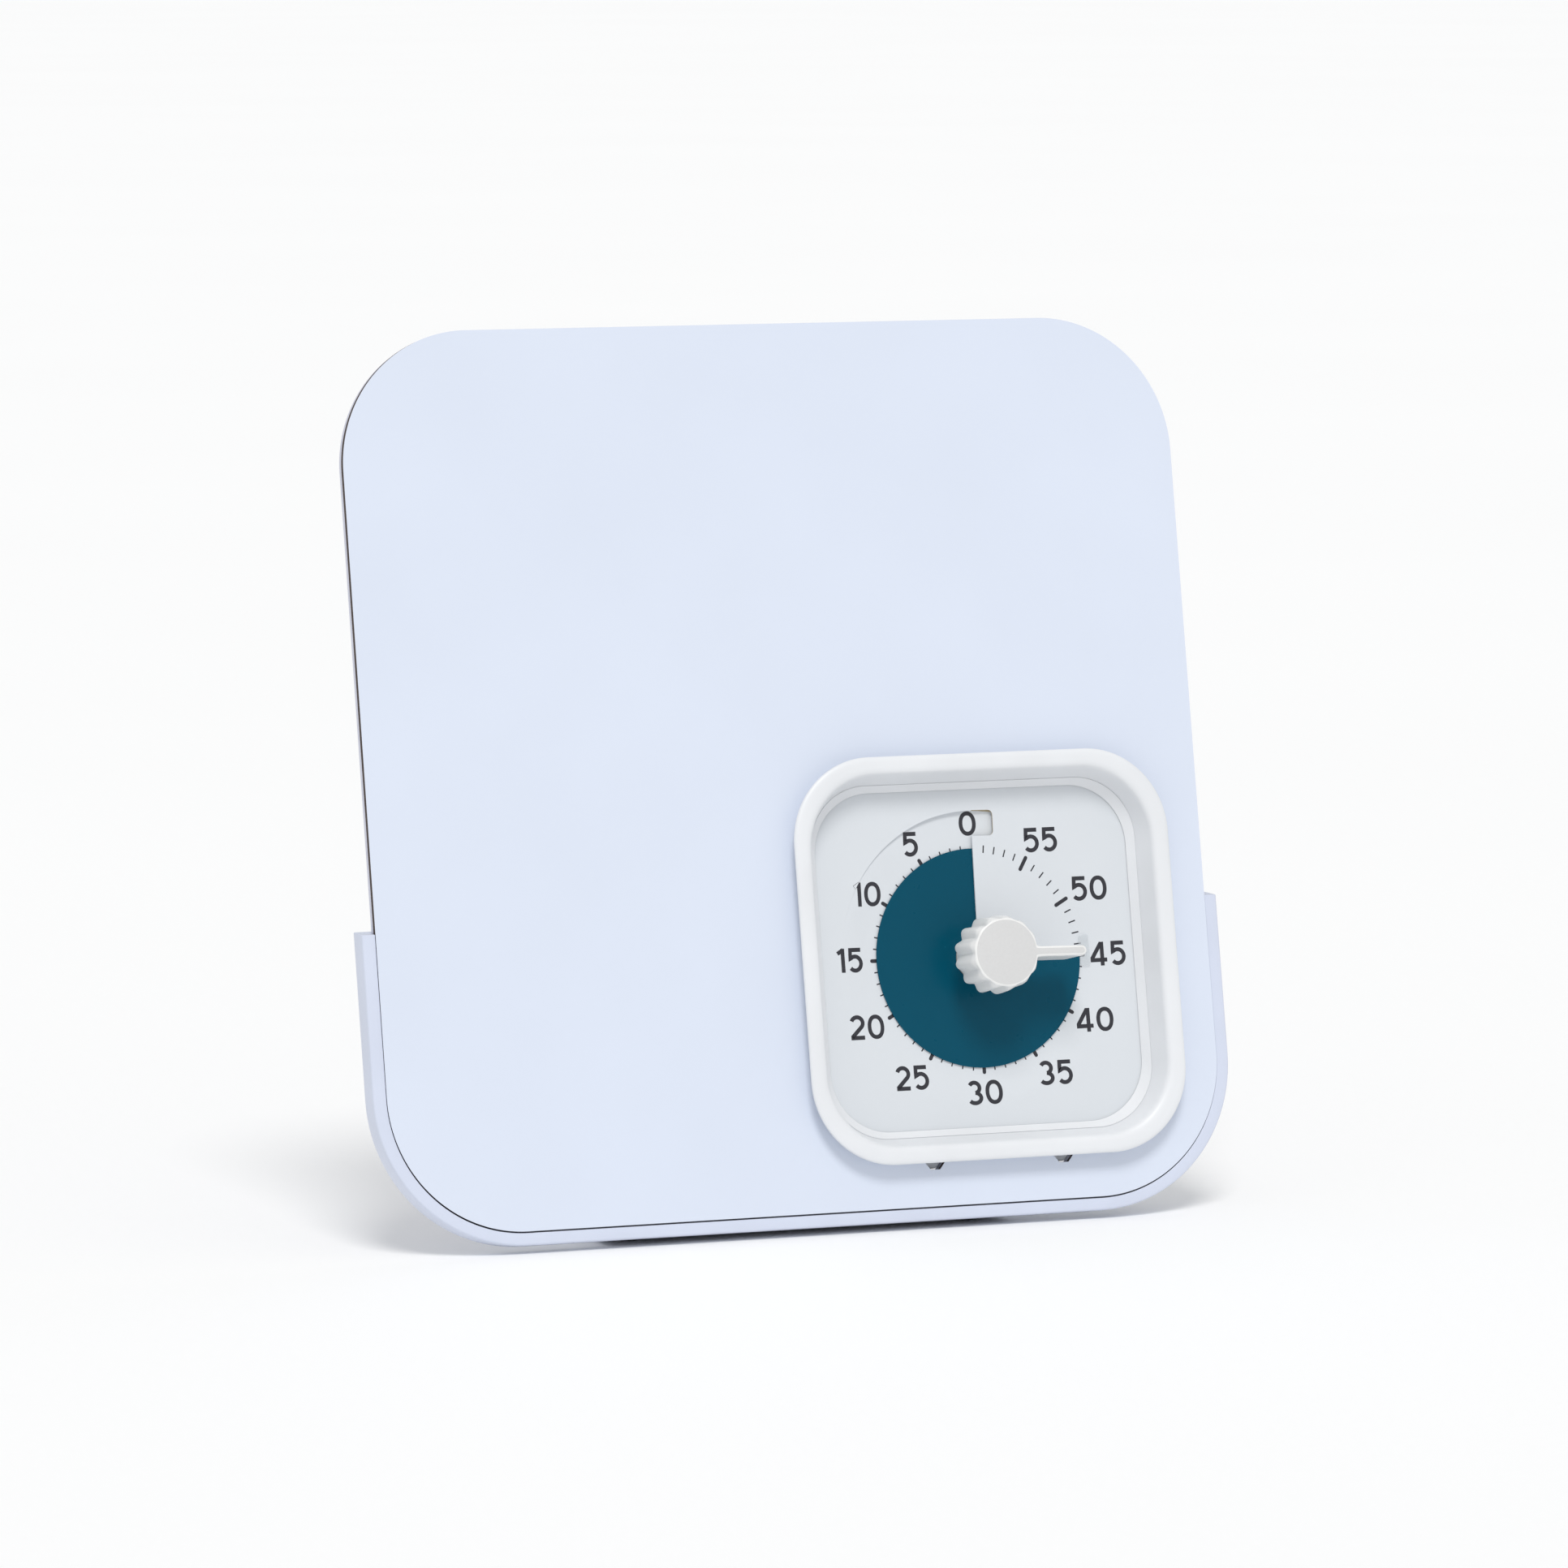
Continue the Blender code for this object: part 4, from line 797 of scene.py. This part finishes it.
def knob_loop(height, cap, depth, fin_half, fin_reach, fillet=3.2 * MM):
    """One level of the knob: fluted lobes joined by fillets to a round-ended fin."""
    loop = []
    for angle in knob_angles():
        lobe = 0.5 + 0.5 * math.cos(FLUTES * angle)
        body = cap - depth * (1 - lobe ** 0.7)
        across = abs(math.sin(angle))
        tip_centre = fin_reach - fin_half
        fin = 0.0
        if abs(angle) < math.pi / 2:
            side = fin_half / across if across > 1e-6 else 1.0
            on_tip = tip_centre * across <= fin_half
            past_centre = math.sqrt(max(0.0, fin_half ** 2 - (tip_centre * across) ** 2))
            round_end = tip_centre * math.cos(angle) + past_centre if on_tip else 0.0
            fin = round_end if on_tip and side * math.cos(angle) > tip_centre else side
        near = max(fillet - abs(body - fin), 0.0) / fillet
        reach = max(body, fin) + near * near * fillet / 4
        loop.append((reach * math.cos(angle), reach * math.sin(angle), height))
    return loop


def make_knob():
    """The fluted cap and its pointer as one moulding, with a fine grain on its flat top."""
    edge = 0.9 * MM
    levels = [(KNOB_LOW, KNOB_OUTER - 0.6 * MM, 1.0, FIN_HALF + 0.1 * MM, FIN_REACH - 0.9 * MM),
              (KNOB_LOW + 0.4 * MM, KNOB_OUTER - 0.1 * MM, 1.0, FIN_HALF + 0.4 * MM, FIN_REACH - 0.5 * MM),
              (KNOB_LOW + 1.2 * MM, KNOB_OUTER, 1.0, FIN_HALF + 0.4 * MM, FIN_REACH - 0.3 * MM),
              (KNOB_LOW + 5 * MM, KNOB_OUTER - 0.15 * MM, 0.97, FIN_HALF + 0.25 * MM, FIN_REACH - 0.1 * MM),
              (KNOB_TOP - 5 * MM, KNOB_OUTER - 0.45 * MM, 0.85, FIN_HALF + 0.15 * MM, FIN_REACH),
              (KNOB_TOP - 3 * MM, KNOB_OUTER - 0.75 * MM, 0.65, FIN_HALF + 0.1 * MM, FIN_REACH),
              (KNOB_TOP - 1.7 * MM, KNOB_OUTER - 1.0 * MM, 0.38, FIN_HALF + 0.05 * MM, FIN_REACH)]
    loops = [knob_loop(z, cap, FLUTE_DEPTH * flutes, half, reach) for z, cap, flutes, half, reach in levels]
    for k in range(6):
        turn = math.pi / 2 * k / 5
        inward = edge * (1 - math.cos(turn))
        height = KNOB_TOP - edge * (1 - math.sin(turn))
        flutes = FLUTE_DEPTH * 0.22 * (1 - k / 5)
        loops.append(knob_loop(height, KNOB_FACE + edge - inward, flutes, FIN_HALF - inward * 0.8,
                               FIN_REACH - inward))
    mesh = loft("knob_cap", loops, sharp=50)
    knob = piece("knob_cap", mesh, POINTER, "knob", KNOB_SIDE, ["knob"], [KNOB_FLAT])
    bore = cylinder("bore", SPINDLE_RADIUS + GAP, KNOB_LOW - 1 * MM, KNOB_LOW + 8 * MM, sides=32)
    carve(knob, [bore])
    for face in knob.data.polygons:
        if face.center.z > KNOB_TOP - 0.01 * MM:
            face.material_index = 1


# CAD nodes that are kept, with their finishes --------------------------------------------------

KEPT = {
    STAND: ["base_foot"],
    HOUSING: ["rear_case", "battery_door", "battery_tray"],
    RUBBER: ["base_pad_1", "base_pad_2", "base_pad_3", "base_pad_4"],
    STEEL: ["foot_screw_1", "foot_screw_2", "foot_screw_3", "case_screw_1", "case_screw_2", "case_screw_3",
            "case_screw_4", "spindle", "stepper_motor"],
    KNOB_SIDE: ["disc_hub"],
    BLACK: ["movement_case", "movement_cover", "buzzer", "sound_switch"],
    NICKEL: ["contact_spring", "contact_plate"],
    NYLON: ["centre_wheel", "intermediate_wheel"],
    BRASS: ["motor_pinion"],
    GREEN: ["circuit_board"],
    WRAP: ["battery"],
}


def finish_kept_nodes():
    for finish, names in KEPT.items():
        for name in names:
            node = frame["nodes"][name]
            node.data.materials.clear()
            node.data.materials.append(finish)


# Studio --------------------------------------------------------------------------------------

CAMERA_AT = Vector((-1.1742, -2.8776, 0.4709))
CAMERA_ALONG = Vector((0.37705, 0.92050, -0.10254))
LENS = 209.52
SENSOR = 36.0
SUN_FROM = (-0.24, 0.95, 1.0)
SUN_SPREAD = 20
SUN_STRENGTH = 1.45
SKY_STRENGTH = 0.66
FLOOR_RADIUS = 90.0


def make_studio():
    camera = bpy.data.objects.new("camera", bpy.data.cameras.new("camera"))
    bpy.context.scene.collection.objects.link(camera)
    camera.data.lens = LENS
    camera.data.sensor_width = SENSOR
    camera.data.clip_end = 200
    camera.location = CAMERA_AT
    camera.rotation_mode = "QUATERNION"
    camera.rotation_quaternion = CAMERA_ALONG.to_track_quat("-Z", "Y")
    bpy.context.scene.camera = camera

    sun = bpy.data.objects.new("sun", bpy.data.lights.new("sun", "SUN"))
    bpy.context.scene.collection.objects.link(sun)
    sun.data.energy = SUN_STRENGTH
    sun.data.angle = math.radians(SUN_SPREAD)
    sun.data.color = (1.0, 0.985, 0.96)
    toward_sun = BOARD.to_3x3() @ Vector(SUN_FROM)
    sun.rotation_mode = "QUATERNION"
    sun.rotation_quaternion = (-toward_sun).to_track_quat("-Z", "Y")

    world = bpy.data.worlds.new("studio")
    world.use_nodes = True
    background = world.node_tree.nodes["Background"]
    background.inputs["Color"].default_value = (0.97, 0.985, 1.0, 1)
    background.inputs["Strength"].default_value = SKY_STRENGTH
    bpy.context.scene.world = world

    bm = bmesh.new()
    bmesh.ops.create_circle(bm, cap_ends=True, segments=96, radius=FLOOR_RADIUS)
    floor = bpy.data.objects.new("floor", finish_mesh("floor", bm))
    bpy.context.scene.collection.objects.link(floor)
    floor.data.materials.append(mottled("pale_floor", (0.985, 0.985, 0.985), 0.8, 4 * MM, 0.0, 0.004, 0.8))
    bpy.context.scene.view_settings.view_transform = "Standard"


make_studio()
make_board()
make_cradle()
make_bezel()
make_timer_feet()
make_dial()
make_disc()
make_numerals()
make_ticks()
make_knob()
finish_kept_nodes()
